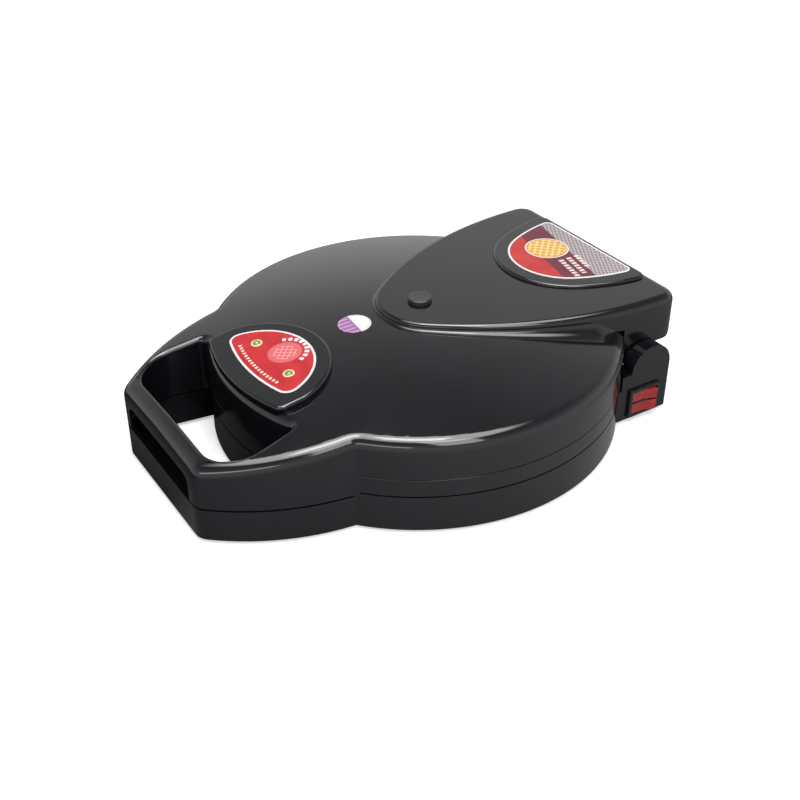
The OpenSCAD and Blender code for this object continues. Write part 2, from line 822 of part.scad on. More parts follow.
// Strap over the lid, cross plate behind it, and a lug down to each hinge pin
module hinge_bracket() {
    color([0.7, 0.71, 0.72]) in_frame() difference() {
        union() {
            translate([-strap_half_w, bridge_screw_y - strap_front, strap_z])
                cube([2 * strap_half_w, cross_y + bracket_t - bridge_screw_y + strap_front, bracket_t]);
            translate([-lug_out, cross_y, cross_low])
                cube([2 * lug_out, bracket_t, strap_z + bracket_t - cross_low]);
            both_sides() along_x(lug_out - lug_t, lug_out) {
                translate([hinge_y, hinge_z]) circle(r = lug_r);
                translate([hinge_y - lug_r, hinge_z])
                    square([cross_y + bracket_t - hinge_y + lug_r, tail_bottom + lug_rise - hinge_z]);
            }
        }
        both_sides() translate([lug_out - lug_t - 1, hinge_y, hinge_z]) rotate([0, 90, 0])
            cylinder(h = lug_t + 2, r = pin_r + tiny);
        translate([0, bridge_screw_y, 0]) cylinder(h = far, r = bridge_bolt_r + tiny);
        both_sides() translate([cross_screw_x, 0, cross_screw_z]) rotate([-90, 0, 0])
            cylinder(h = far, r = screw_r + tiny);
    }
}

// ---- Lid ----

// Handle of the lid: a channel, open downwards, under the same dome as the round part
module lid_handle() {
    difference() {
        intersection() {
            translate([0, 0, arm_z]) linear_extrude(crown_h) loop_plan(0, body_r - wall / 2);
            dome(tiny);
        }
        intersection() {
            linear_extrude(crown_h) loop_plan(wall, body_r - wall / 3);
            dome(-wall);
        }
        // Room for the lid ring, and the finger slot in the front wall
        cylinder(h = shell_z, r = body_r + fit);
        translate([0, -front_reach - 1, 0]) rotate([90, 0, 180]) linear_extrude(wall + 1.5) slot_shape();
    }
    // Roots of the two arms, over the round edge
    difference() {
        intersection() {
            linear_extrude(crown_h) loop_plan(0, body_r - edge_r - 1);
            cylinder(h = far, r = body_r - wall / 4);
            dome(tiny);
        }
        dome(-edge_r);
    }
}

module slot_shape() {
    translate([-slot_half_w, 0]) square([2 * slot_half_w, slot_top - slot_r]);
    translate([slot_r - slot_half_w, 0]) square([2 * (slot_half_w - slot_r), slot_top]);
    both_sides() translate([slot_half_w - slot_r, slot_top - slot_r]) circle(r = slot_r);
}

module lid_shell() {
    color([0.09, 0.08, 0.09]) in_frame() {
        difference() {
            union() {
                // Round part, flat at the rear
                intersection() {
                    rotate_extrude() difference() {
                        lid_section();
                        lid_section(wall);
                        square([far, shell_z]);
                    }
                    translate([-far, -far, 0]) cube([2 * far, far + rear_flat, far]);
                }
                intersection() {
                    rotate_extrude() difference() {
                        lid_section(tiny);
                        square([far, shell_z]);
                    }
                    translate([-far, rear_flat - wall, 0]) cube([2 * far, wall, far]);
                }
                lid_handle();
            }
            // Holes for the bridge's screw and the lamps
            translate([0, bridge_screw_y, 0]) cylinder(h = far, r = bridge_bolt_r + fit);
            lamp_holes();
            both_sides() translate([cross_screw_x, rear_flat - wall - 1, cross_screw_z])
                rotate([-90, 0, 0]) cylinder(h = wall + 2, r = screw_r + tiny);
        }
        // Bosses for the ring's screws
        intersection() {
            around(boss_n, boss_pcr, 0) difference() {
                translate([0, 0, mid_z + seat_h]) cylinder(h = crown_h, r = boss_r);
                translate([0, 0, mid_z]) cylinder(h = 18, r = screw_r + tiny);
            }
            dome(-wall + tiny);
        }
        // Bosses on the flat rear wall that carry the bracket
        both_sides() translate([cross_screw_x, rear_flat - wall / 2, cross_screw_z]) rotate([-90, 0, 0])
            difference() {
                cylinder(h = cross_y - rear_flat + wall / 2, r = boss_r);
                translate([0, 0, -1]) cylinder(h = far, r = screw_r + tiny);
            }
    }
}

// Ring that closes the lid's underside around the upper plate
module lid_ring() {
    top = mid_z + seat_h;
    color([0.09, 0.08, 0.09]) in_frame() difference() {
        union() {
            intersection() {
                rotate_extrude() {
                    translate([plate_r + fit, ring_z]) square([body_r - plate_r - fit, wall]);
                    translate([lip_r, top]) square([plate_r + wall - lip_r, wall]);
                    translate([body_r - wall - fit, ring_z]) square([wall + fit, ring_h]);
                    translate([body_r - wall - fit, ring_z]) square([wall + fit - groove, ring_h + groove]);
                    translate([body_r - wall - fit - spigot_w, ring_z]) square([spigot_w, ring_h + spigot_h]);
                }
                translate([-far, -far, 0]) cube([2 * far, far + rear_flat, far]);
            }
            // Wall along the flat rear
            intersection() {
                translate([-far, rear_flat - wall, ring_z]) cube([2 * far, wall, ring_h + groove]);
                cylinder(h = far, r = body_r - wall);
            }
        }
        translate([0, 0, -1]) around(boss_n, boss_pcr, 0) cylinder(h = far, r = screw_r + fit);
        around(boss_n, boss_pcr, 0) translate([0, 0, top + tiny]) cylinder(h = far, r = boss_r + fit);
        around(boss_n, boss_pcr, 0) cylinder(h = ring_z + head_h / 2, r = head_r + fit);
        // Room for the lid's rear wall
        translate([-far, rear_flat - wall - fit, shell_z]) cube([2 * far, far, far]);
    }
}

module ring_screws() {
    color("silver") in_frame() translate([0, 0, ring_z + head_h / 2]) around(boss_n, boss_pcr, 0)
        difference() {
            union() {
                translate([0, 0, -head_h / 2]) cylinder(h = head_h / 2, r = head_r);
                cylinder(h = ring_screw_l, r = screw_r);
            }
            for (a = [0, 90]) rotate(a) translate([-2, -0.4, -head_h]) cube([4, 0.8, head_h]);
        }
}

// ---- Bridge ----

module lid_envelope() {
    intersection() {
        linear_extrude(far) round_plan(body_r + fit, rear_flat + fit);
        dome(fit / 2);
    }
}

// Side view of the bridge, rounded at the rear; its hollow has a straight way down.
module bridge_profile(inset) {
    low_r = tail_corner_r - inset;
    top_r = tail_top_r - inset;
    rear = rear_reach - inset;
    low = tail_bottom + inset;
    top = bridge_top - inset;
    polygon(concat([[-far, low - 2 * inset], [rear - low_r, low - 2 * inset]],
        arc([rear - low_r, low + low_r], low_r, -90, 0, 8),
        arc([rear - top_r, top - top_r], top_r, 0, 90, 5), [[-far, top]]));
}

module bridge_block(inset) {
    intersection() {
        linear_extrude(far) bridge_plan(inset);
        along_x(-far, far) bridge_profile(inset);
    }
}

module bridge_shell() {
    color([0.09, 0.08, 0.09]) in_frame() difference() {
        bridge_block(0);
        bridge_block(bridge_wall);
        lid_envelope();
        // Recess and hole for the plug and the screw under it
        translate([0, bridge_screw_y, 0]) cylinder(h = far, r = bridge_bolt_r + fit);
    }
}

module bridge_screw() {
    color("silver") in_frame() translate([0, bridge_screw_y, 0]) {
        translate([0, 0, crown_h - wall - 10]) cylinder(h = bridge_top - crown_h + wall + 10, r = bridge_bolt_r);
        translate([0, 0, bridge_top]) cylinder(h = 1.2, r = 4.5);
        translate([0, 0, dome_z(0, bridge_screw_y + 5) - wall - 5]) cylinder(h = 4.6, r = 4.6, $fn = 6);
    }
}

// Snap-on plug that hides the screw
module screw_plug() {
    cap_r = (plug_r * plug_r + plug_crown * plug_crown) / (2 * plug_crown);
    color([0.13, 0.12, 0.13]) in_frame() translate([0, bridge_screw_y, bridge_top]) difference() {
        intersection() {
            cylinder(h = plug_h, r = plug_r);
            translate([0, 0, plug_h - cap_r]) sphere(r = cap_r);
        }
        translate([0, 0, -1]) cylinder(h = 2.6, r = 5.5);
    }
}

module bracket_screws() {
    color("silver") in_frame() both_sides()
        translate([cross_screw_x, cross_y + bracket_t, cross_screw_z]) rotate([90, 0, 0])
            screw(cross_screw_l);
}

// ---- Pads, lamps and labels ----

// Tilted frame on the pad's flat top, over the plate axis
module on_pad() {
    translate([0, -pad_mid_y, dome_z(0, pad_mid_y) + pad_h]) rotate([pad_tilt, 0, 0])
        translate([0, pad_mid_y, 0]) children();
}

module lamp_holes() {
    on_pad() both_sides() translate([lamp_x, -lamp_y, -30]) cylinder(h = 60, r = lens_r + fit);
}

module indicator_pad() {
    color([0.1, 0.09, 0.1]) in_frame() difference() {
        on_pad() translate([0, 0, -pad_depth]) linear_extrude(pad_depth) pad_plan();
        rotate_extrude($fn = 192) lid_section(-tiny);
        lamp_holes();
    }
}

module front_label() {
    color([0.75, 0.1, 0.12]) in_frame() difference() {
        on_pad() linear_extrude(label_t) pad_plan(label_inset, label_front_inset);
        lamp_holes();
    }
}

// Lens with a domed tip, on a stem that reaches down to the lamp board
module lamp() {
    tip = 1.4;
    ball_r = (lens_r * lens_r + tip * tip) / (2 * tip);
    color([0.35, 0.6, 0.15]) in_frame() on_pad() translate([lamp_x, -lamp_y, 0]) {
        translate([0, 0, -lamp_stem]) cylinder(h = lamp_stem + label_t + 0.6, r = lens_r);
        intersection() {
            translate([0, 0, label_t + 0.6 - tiny]) cylinder(h = 3, r = lens_r);
            translate([0, 0, label_t + 0.6 + tip - ball_r]) sphere(r = ball_r);
        }
    }
}

module left_lamp() {
    mirror([1, 0, 0]) lamp();
}

module right_lamp() {
    lamp();
}

// Small board under the lid's front that carries both lamps, hung from two posts
module lamp_board() {
    color([0.15, 0.4, 0.2]) in_frame() {
        on_pad() translate([-lamp_x - board_margin, -lamp_y - board_margin, -lamp_stem - board_t])
            cube([2 * (lamp_x + board_margin), 2 * board_margin, board_t]);
        intersection() {
            on_pad() translate([0, -lamp_y, -lamp_stem]) cylinder(h = lamp_stem, r = 3);
            dome(-wall);
        }
    }
}

module rear_label_pad() {
    color([0.1, 0.09, 0.1]) in_frame() translate([0, 0, bridge_top])
        linear_extrude(rear_pad_h) rear_pad_plan(0, rear_pad_end);
}

module rear_label() {
    color([0.7, 0.12, 0.12]) in_frame() translate([0, 0, bridge_top + rear_pad_h])
        linear_extrude(label_t) rear_pad_plan(rear_label_inset, rear_pad_end + rear_label_end);
}

module round_sticker() {
    color([0.85, 0.8, 0.9]) in_frame() difference() {
        intersection() {
            translate([sticker_at.x, sticker_at.y, 0]) cylinder(h = far, r = sticker_r);
            dome(label_t);
        }
        dome(tiny);
    }
}

base_shell();
base_cover();
rubber_feet();
cover_screws();
lower_plate();
lower_heater();
lower_heat_shield();
lower_plate_screws();
lower_thermostat();
lower_thermal_fuse();
terminal_block();
lower_wiring();
switch_housing();
upper_rocker();
lower_rocker();
cord_gland();
left_hinge_bush();
right_hinge_bush();
left_hinge_pin();
right_hinge_pin();
lid_shell();
lid_ring();
ring_screws();
bridge_shell();
hinge_bracket();
bracket_screws();
bridge_screw();
screw_plug();
upper_plate();
upper_heater();
upper_heat_shield();
upper_plate_screws();
upper_thermostat();
upper_thermal_fuse();
upper_wiring();
indicator_pad();
lamp_board();
left_lamp();
right_lamp();
front_label();
rear_label_pad();
rear_label();
round_sticker();
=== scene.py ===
# %% [markdown]
# # A waffle cone maker
#
# This lesson dresses the frame of a round waffle cone maker: a glossy black lid with a loop
# handle, a raised bridge over it, a base with a double rocker switch, two printed labels and
# a round sticker. The frame already holds every solid at its real size. Here the visible
# shells get their rounded edges, and every surface gets a finish.

# %% Load the frame
import math

import bpy
from mathutils import Matrix, Vector


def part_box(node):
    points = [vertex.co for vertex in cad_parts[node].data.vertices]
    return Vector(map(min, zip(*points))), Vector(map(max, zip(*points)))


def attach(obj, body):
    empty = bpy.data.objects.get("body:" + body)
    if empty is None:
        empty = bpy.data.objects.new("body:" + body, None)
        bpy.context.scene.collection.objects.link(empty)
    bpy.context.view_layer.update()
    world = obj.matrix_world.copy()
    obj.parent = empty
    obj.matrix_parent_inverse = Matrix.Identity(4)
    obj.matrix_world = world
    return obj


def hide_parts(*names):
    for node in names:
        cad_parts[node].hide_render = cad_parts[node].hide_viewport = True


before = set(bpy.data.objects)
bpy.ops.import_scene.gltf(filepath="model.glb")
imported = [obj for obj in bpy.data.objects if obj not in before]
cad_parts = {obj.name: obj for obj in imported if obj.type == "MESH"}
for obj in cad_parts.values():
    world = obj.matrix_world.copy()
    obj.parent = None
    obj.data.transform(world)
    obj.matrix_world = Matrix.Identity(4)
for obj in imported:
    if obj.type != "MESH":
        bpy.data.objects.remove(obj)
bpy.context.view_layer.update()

# %% [markdown]
# All sizes are in metres. Most of them are easier to read in millimetres, so `MM` turns one
# into the other. The plates and their heat shields share one upright axis, and everything
# round is drawn around it. Its place comes from the frame.

# %% Where things are
MM = 0.001
shield_low, shield_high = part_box("lower_heat_shield")
AXIS_Y = (shield_low.y + shield_high.y) / 2
DECK_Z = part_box("base_shell")[0].z  # underside of the base

BODY_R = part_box("lid_ring")[1].x
CROWN_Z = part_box("lid_shell")[1].z
DOME_R = 880 * MM
LID_Z = DECK_Z + 44.8 * MM  # lower edge of the lid's wall
ARM_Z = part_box("lid_shell")[0].z  # lower edge of the handle's upper half
REAR_FLAT = 158 * MM  # straight rear end of the lid, from the plate axis
print("axis at y", round(AXIS_Y, 4), "body radius", round(BODY_R, 4))


def dome_drop(x, y):
    """How far the dome lies below its crown, at a place around the plate axis."""
    return DOME_R - math.sqrt(DOME_R**2 - x * x - y * y)


# %% [markdown]
# ## Camera, floor and light
#
# The camera looks down at the handle's corner with a slightly long lens. The floor is white
# for the camera, but greyer in reflections, and brighter there to the right than to the left,
# so that the black plastic shows its shape. Reflections also see a sky that darkens upwards
# to a bright ceiling panel, which draws the long highlights along the rounded edges.

# %% Camera
camera_data = bpy.data.cameras.new("camera")
camera = bpy.data.objects.new("camera", camera_data)
bpy.context.scene.collection.objects.link(camera)
camera_data.sensor_width = 36
camera_data.lens = 54.01
camera.location = (691.18 * MM, -438.97 * MM, 554.38 * MM)
look_at = Vector((54.02 * MM, -30.53 * MM, 53 * MM))
camera.rotation_euler = (look_at - camera.location).to_track_quat("-Z", "Y").to_euler()
bpy.context.scene.camera = camera
bpy.context.scene.view_settings.view_transform = "Standard"


# %% The room
def ray_is(tree, *kinds):
    """1 for rays of any of the given kinds, and 0 for all others."""
    path = tree.nodes.new("ShaderNodeLightPath")
    found = path.outputs[kinds[0]]
    for kind in kinds[1:]:
        more = tree.nodes.new("ShaderNodeMath")
        more.operation = "MAXIMUM"
        tree.links.new(found, more.inputs[0])
        tree.links.new(path.outputs[kind], more.inputs[1])
        found = more.outputs[0]
    return found


world = bpy.data.worlds.new("studio")
bpy.context.scene.world = world
world.use_nodes = True
tree = world.node_tree
background = tree.nodes["Background"]
background.inputs["Color"].default_value = (1, 1, 1, 1)


def mapped(tree, value, from_range, to_range):
    """A value mapped from one range onto another, and held at its ends."""
    node = tree.nodes.new("ShaderNodeMapRange")
    node.inputs["From Min"].default_value, node.inputs["From Max"].default_value = from_range
    node.inputs["To Min"].default_value, node.inputs["To Max"].default_value = to_range
    tree.links.new(value, node.inputs["Value"])
    return node.outputs["Result"]


def pick(tree, factor, first, second):
    """The first value where the factor is 0, the second where it is 1."""
    node = tree.nodes.new("ShaderNodeMix")
    for slot, value in zip(node.inputs[:4], (factor, None, first, second)):
        if isinstance(value, bpy.types.NodeSocket):
            tree.links.new(value, slot)
        elif value is not None:
            slot.default_value = value
    return node.outputs[0]


SKY_HEIGHTS, SKY_LEVELS = (0.3, 0.78), (1.05, 0.3)  # darker upwards
PANEL_EDGE = (0.87, 0.92)  # height at which the ceiling panel begins
PANEL_LEVEL = 8.0
SOFT_LEVEL = 0.45  # what the room adds to the lamps
WHITE_LEVEL = 1.0

direction = tree.nodes.new("ShaderNodeTexCoord")
parts = tree.nodes.new("ShaderNodeSeparateXYZ")
tree.links.new(direction.outputs["Generated"], parts.inputs["Vector"])
sky = mapped(tree, parts.outputs["Z"], SKY_HEIGHTS, SKY_LEVELS)
panel = mapped(tree, parts.outputs["Z"], PANEL_EDGE, (0, 1))
mirrored = pick(tree, panel, sky, PANEL_LEVEL)
level = pick(tree, ray_is(tree, "Is Glossy Ray"), SOFT_LEVEL, mirrored)
level = pick(tree, ray_is(tree, "Is Camera Ray", "Is Transmission Ray"), level, WHITE_LEVEL)
tree.links.new(level, background.inputs["Strength"])

# %% Floor: lit paper that the camera sees a little brighter, so that it reads as white
PAPER_BASE, PAPER_BASE_IN_GLOSS = 0.8, 0.08
CAMERA_LIFT = 0.5  # light of its own that only the camera sees
SHEEN_X, SHEEN_LEVELS = (0, 350 * MM), (0, 0.8)  # brighter to the right, in reflections

bpy.ops.mesh.primitive_plane_add(size=12, location=(0, 0, 0))
floor = bpy.context.object
floor.name = "studio_floor"
floor_material = bpy.data.materials.new("studio_floor")
floor_material.use_nodes = True
tree = floor_material.node_tree
paper = tree.nodes["Principled BSDF"]
paper.inputs["Roughness"].default_value = 0.9
paper.inputs["Specular IOR Level"].default_value = 0
paper.inputs["Emission Color"].default_value = (1, 1, 1, 1)
in_gloss = ray_is(tree, "Is Glossy Ray")
paper_base = pick(tree, in_gloss, PAPER_BASE, PAPER_BASE_IN_GLOSS)
tree.links.new(paper_base, paper.inputs["Base Color"])
place = tree.nodes.new("ShaderNodeTexCoord")
parts = tree.nodes.new("ShaderNodeSeparateXYZ")
tree.links.new(place.outputs["Object"], parts.inputs["Vector"])
sheen = mapped(tree, parts.outputs["X"], SHEEN_X, SHEEN_LEVELS)
lift = pick(tree, in_gloss, 0.0, sheen)
lift = pick(tree, ray_is(tree, "Is Camera Ray", "Is Transmission Ray"), lift, CAMERA_LIFT)
tree.links.new(lift, paper.inputs["Emission Strength"])
floor.data.materials.append(floor_material)


# %% Lights
def soft_light(name, place, aim, size, power):
    """A rectangular studio light."""
    data = bpy.data.lights.new(name, "AREA")
    data.shape = "RECTANGLE"
    data.size, data.size_y = size
    data.energy = power
    light = bpy.data.objects.new(name, data)
    bpy.context.scene.collection.objects.link(light)
    light.location = place
    light.rotation_euler = (Vector(aim) - Vector(place)).to_track_quat("-Z", "Y").to_euler()
    return light


soft_light("overhead", (0.15, -0.1, 1.5), (0, 0, 0.05), (0.5, 0.5), 10)
soft_light("side_window", (0.95, -0.15, 1.15), (0, -0.05, 0.05), (0.5, 0.9), 9)
soft_light("front_strip", (0.9, -1.3, 0.75), (0, -0.05, 0.05), (1.2, 0.16), 4)


# %% [markdown]
# ## Helpers for modelling by hand
#
# An operator acts on what is selected, so every step first selects exactly what it needs.
# `choose` selects faces or edges by a test on their place, and leaves the object in edit
# mode. `outline_face` turns a drawn outline into a flat face: it adds a circle with as many
# corners as the outline has points, and puts each corner on its point. Some outlines are
# made of arcs that run into each other, so small helpers find where circles meet.

# %% Helpers
def only(obj):
    """Select one object and make it the active one."""
    bpy.ops.object.select_all(action="DESELECT")
    obj.select_set(True)
    bpy.context.view_layer.objects.active = obj


def edit_all(obj):
    """Enter edit mode with the whole object selected."""
    only(obj)
    bpy.ops.object.mode_set(mode="EDIT")
    bpy.ops.mesh.select_mode(type="FACE")
    bpy.ops.mesh.select_all(action="SELECT")


def done():
    """Leave edit mode."""
    bpy.ops.object.mode_set(mode="OBJECT")


def choose(obj, kind, test):
    """Select the faces or edges that pass a test, and stay in edit mode."""
    only(obj)
    bpy.ops.object.mode_set(mode="EDIT")
    bpy.ops.mesh.select_mode(type="FACE" if kind == "faces" else "EDGE")
    bpy.ops.mesh.select_all(action="DESELECT")
    bpy.ops.object.mode_set(mode="OBJECT")
    mesh = obj.data
    if kind == "faces":
        for face in mesh.polygons:
            face.select = bool(test(face))
    else:
        for edge in mesh.edges:
            a, b = (mesh.vertices[i].co for i in edge.vertices)
            edge.select = bool(test(a, b))
    bpy.ops.object.mode_set(mode="EDIT")


def remove_faces(obj, test):
    """Delete the faces that pass a test."""
    choose(obj, "faces", test)
    bpy.ops.mesh.delete(type="FACE")
    done()


def face_outwards(obj):
    """Turn every face to point away from the inside."""
    edit_all(obj)
    bpy.ops.mesh.normals_make_consistent(inside=False)
    done()


def outline_face(name, points, z):
    """A flat face from points drawn around the plate axis, at a height."""
    bpy.ops.object.select_all(action="DESELECT")
    bpy.ops.mesh.primitive_circle_add(vertices=len(points), radius=0.1, fill_type="NGON")
    obj = bpy.context.object
    obj.name = obj.data.name = name
    for vertex, (x, y) in zip(obj.data.vertices, points):
        vertex.co = (x, y + AXIS_Y, z)
    return obj


def extrude(obj, height):
    """Pull all of a flat face up, which leaves a closed block."""
    edit_all(obj)
    bpy.ops.mesh.extrude_region_move(TRANSFORM_OT_translate={"value": (0, 0, height)})
    bpy.ops.mesh.select_all(action="SELECT")
    bpy.ops.mesh.normals_make_consistent(inside=False)
    done()


def join(name, *objs):
    """Make several objects one, and weld the points that they share."""
    bpy.ops.object.select_all(action="DESELECT")
    for obj in objs:
        obj.select_set(True)
    bpy.context.view_layer.objects.active = objs[0]
    bpy.ops.object.join()
    objs[0].name = objs[0].data.name = name
    edit_all(objs[0])
    bpy.ops.mesh.remove_doubles(threshold=0.00001)
    done()
    return objs[0]


def modify(obj, kind, **settings):
    """Add a modifier, set it and apply it."""
    only(obj)
    bpy.ops.object.modifier_add(type=kind)
    modifier = obj.modifiers[-1]
    for key, value in settings.items():
        setattr(modifier, key, value)
    bpy.ops.object.modifier_apply(modifier=modifier.name)


def cut(obj, cutter):
    """Take one object out of another."""
    modify(obj, "BOOLEAN", object=cutter, operation="DIFFERENCE", solver="EXACT")
    bpy.data.objects.remove(cutter)


def weigh_edges(obj, weight):
    """Give each edge its own bevel weight, from its two ends."""
    layer = obj.data.attributes.new("bevel_weight_edge", "FLOAT", "EDGE")
    for edge in obj.data.edges:
        a, b = (obj.data.vertices[i].co for i in edge.vertices)
        layer.data[edge.index].value = weight(a, b)


def finish_surface(obj, angle=32):
    """Smooth shading that keeps flat faces flat and real corners sharp."""
    only(obj)
    bpy.ops.object.shade_smooth_by_angle(angle=math.radians(angle))
    modify(obj, "WEIGHTED_NORMAL", mode="FACE_AREA", weight=80, keep_sharp=True)


def arc(centre, radius, start, end, steps):
    """Points of an arc between two angles in degrees."""
    turns = [math.radians(start + (end - start) * i / steps) for i in range(steps + 1)]
    return [(centre[0] + radius * math.cos(t), centre[1] + radius * math.sin(t)) for t in turns]


def angle_of(centre, point):
    """The direction from a centre to a point, in degrees."""
    return math.degrees(math.atan2(point[1] - centre[1], point[0] - centre[0]))


def circles_meet(c1, r1, c2, r2, side):
    """One of the two points where two circles cross; side is 1 or -1."""
    d = math.dist(c1, c2)
    a = (r1 * r1 - r2 * r2 + d * d) / (2 * d)
    h = math.sqrt(r1 * r1 - a * a) * side
    ux, uy = (c2[0] - c1[0]) / d, (c2[1] - c1[1]) / d
    return (c1[0] + a * ux - h * uy, c1[1] + a * uy + h * ux)


# %% [markdown]
# ## Lid
#
# The lid is one moulding: a shallow dome over a round wall, which runs out into two arms and
# a front bar around a finger hole. It is symmetric, so only its right half is drawn, and a
# mirror makes the other half. The outline is two faces that share the arc where the handle
# leaves the round body, because the handle reaches further down than the body does. A bevel
# whose width follows edge weights rounds the outside generously and the hole's rim tightly.
# Last, a fine grid is cut into the flat top, so that its points can sink onto the dome.

# %% The lid's outline
AXIS = (0, 0)
TINY = 0.01 * MM  # nearer than this is the same place
ARM_R, ARM_C = 174 * MM, (-62.5 * MM, -104 * MM)  # outer curve of the right arm
ROOT_R = 14 * MM  # soft corner where an arm leaves the round body
CORNER_R = 13 * MM
FRONT = 224 * MM
BAR_W = 14 * MM
HOLE_R = 28 * MM
HOLE_HALF_W = 77.5 * MM
HOLE_ROOT_HALF_W = 72 * MM
HOLE_ROOT_IN = 8 * MM  # how far the hole's side would run into the round body
HOLE_ROOT_R = 5 * MM  # soft corner where the hole meets the round body

corner_y = CORNER_R - FRONT
corner_x = math.sqrt((ARM_R - CORNER_R) ** 2 - (corner_y - ARM_C[1]) ** 2) + ARM_C[0]
corner_turn = angle_of(ARM_C, (corner_x, corner_y))
root_c = circles_meet(AXIS, BODY_R + ROOT_R, ARM_C, ARM_R + ROOT_R, 1)
body_end = angle_of(AXIS, root_c)
arm_end = angle_of(ARM_C, root_c)

hole_c = (HOLE_HALF_W - HOLE_R, BAR_W + HOLE_R - FRONT)
body_edge_y = -math.sqrt(BODY_R**2 - HOLE_ROOT_HALF_W**2)
hole_root = Vector((HOLE_ROOT_HALF_W, HOLE_ROOT_IN + body_edge_y))
to_root = hole_root - Vector(hole_c)
hole_turn = angle_of((0, 0), to_root) - math.degrees(math.acos(HOLE_R / to_root.length))
# The hole's straight side leaves its round corner at touch, and meets the soft root corner
touch = Vector(arc(hole_c, HOLE_R, hole_turn, hole_turn, 1)[0])
along = (hole_root - touch).normalized()
inward = Vector((-along.y, along.x))
beside = touch + inward * HOLE_ROOT_R
reach = -beside.dot(along) - math.sqrt(
    beside.dot(along) ** 2 - beside.length_squared + (BODY_R + HOLE_ROOT_R) ** 2
)
hole_root_c = beside + along * reach
hole_end = angle_of(AXIS, hole_root_c)
side_turn = angle_of((0, 0), -inward)

flat_turn = math.degrees(math.asin(REAR_FLAT / BODY_R))
body_arc = arc(AXIS, BODY_R, flat_turn, body_end, 64)
shared_arc = arc(AXIS, BODY_R, body_end, hole_end, 12)
rear_arc = arc(AXIS, BODY_R, hole_end, -90, 16)
arm_side = (
    arc(root_c, ROOT_R, body_end + 180, arm_end + 180, 7)
    + arc(ARM_C, ARM_R, arm_end, corner_turn, 24)[1:]
    + arc((corner_x, corner_y), CORNER_R, corner_turn, -90, 7)[1:]
    + [(0, -FRONT)]
)
hole_side = (
    [(0, BAR_W - FRONT)]
    + arc(hole_c, HOLE_R, -90, hole_turn, 14)
    + arc(hole_root_c, HOLE_ROOT_R, side_turn, hole_end + 180, 6)
)
drum_half = [(0, REAR_FLAT)] + body_arc + shared_arc[1:] + rear_arc[1:]
loop_half = arm_side + hole_side + shared_arc[::-1][1:-1]
print("outline points:", len(drum_half), "+", len(loop_half))

# %% Block out the right half
lid = join(
    "lid_cover",
    outline_face("lid_drum", drum_half, LID_Z),
    outline_face("lid_loop", loop_half, LID_Z),
)
extrude(lid, CROWN_Z - LID_Z)

# One single top face, and the handle's part pulled down to its own lower edge
choose(lid, "faces", lambda f: f.center.z > CROWN_Z - MM and f.normal.z > 0.9)
bpy.ops.mesh.dissolve_limited(angle_limit=math.radians(1))
done()
handle_end_y = AXIS_Y - BODY_R + 30 * MM
choose(lid, "faces", lambda f: f.normal.z < -0.9 and f.center.y < handle_end_y)
bpy.ops.mesh.extrude_region_move(TRANSFORM_OT_translate={"value": (0, 0, ARM_Z - LID_Z)})
done()
print("lid block:", len(lid.data.polygons), "faces")

# %% Round the lid's edges
EDGE_R = 8 * MM
RIM_R = 3.5 * MM


def plan(point):
    """Distance from the plate axis, and the place around it."""
    x, y = point.x, point.y - AXIS_Y
    return math.hypot(x, y), x, y


def on_circle(x, y, centre, radius):
    """Whether an edge's middle belongs to a round stretch of the outline."""
    return abs(math.dist((x, y), centre) - radius) < 0.2 * MM


def on_top_rim(a, b, top):
    """Whether an edge lies at the top, and not in the plane where the halves meet."""
    in_middle = abs(a.x) < TINY and abs(b.x) < TINY
    return min(a.z, b.z) > top - 0.1 * MM and not in_middle


def lid_edge_weight(a, b):
    """1 on the outside of the lid, less on the rim of the finger hole, 0 elsewhere."""
    if not on_top_rim(a, b, CROWN_Z):
        return 0
    r, x, y = plan((a + b) / 2)
    on_arm = on_circle(x, y, ARM_C, ARM_R) or on_circle(x, y, root_c, ROOT_R)
    if r < BODY_R + 2 * TINY or y < corner_y or on_arm:
        return 1
    if y < hole_c[1] or math.dist((x, y), hole_root_c) > HOLE_ROOT_R + 2 * TINY:
        return RIM_R / EDGE_R
    # the corner at the round body, where the narrow rim opens into the wide edge
    turned = (angle_of(hole_root_c, (x, y)) - side_turn) / (hole_end + 180 - side_turn)
    return RIM_R / EDGE_R + (1 - RIM_R / EDGE_R) * turned


weigh_edges(lid, lid_edge_weight)
modify(lid, "BEVEL", limit_method="WEIGHT", width=EDGE_R, segments=7, use_clamp_overlap=False)
print("lid rounded:", len(lid.data.polygons), "faces")

# %% Cut a grid into the top and sink it onto the dome
GRID = 9 * MM


def is_top(face):
    return face.center.z > CROWN_Z - TINY and face.normal.z > 0.99


def grid_cut(obj, test, place, normal):
    """Split the faces that pass a test along a plane."""
    choose(obj, "faces", test)
    bpy.ops.mesh.bisect(plane_co=place, plane_no=normal)
    done()


x = GRID
while x < BODY_R:
    grid_cut(lid, is_top, (x, 0, 0), (1, 0, 0))
    x += GRID
y = -FRONT + GRID
while y < REAR_FLAT:
    grid_cut(lid, is_top, (0, y + AXIS_Y, 0), (0, 1, 0))
    y += GRID
for vertex in lid.data.vertices:
    if vertex.co.z > LID_Z + MM:
        vertex.co.z -= dome_drop(vertex.co.x, vertex.co.y - AXIS_Y)
print("lid domed:", len(lid.data.polygons), "faces")

# %% Open the underside, mirror it and give it a wall
LID_WALL = 2.2 * MM


def is_open_below(face):
    """The underside, the middle plane and the step at the round body."""
    r, x, y = plan(face.center)
    below = face.normal.z < -0.9
    middle = abs(face.normal.x) > 0.99 and abs(face.center.x) < TINY
    inner_end = face.center.z < LID_Z and r < BODY_R + 0.1 * MM
    return below or middle or inner_end


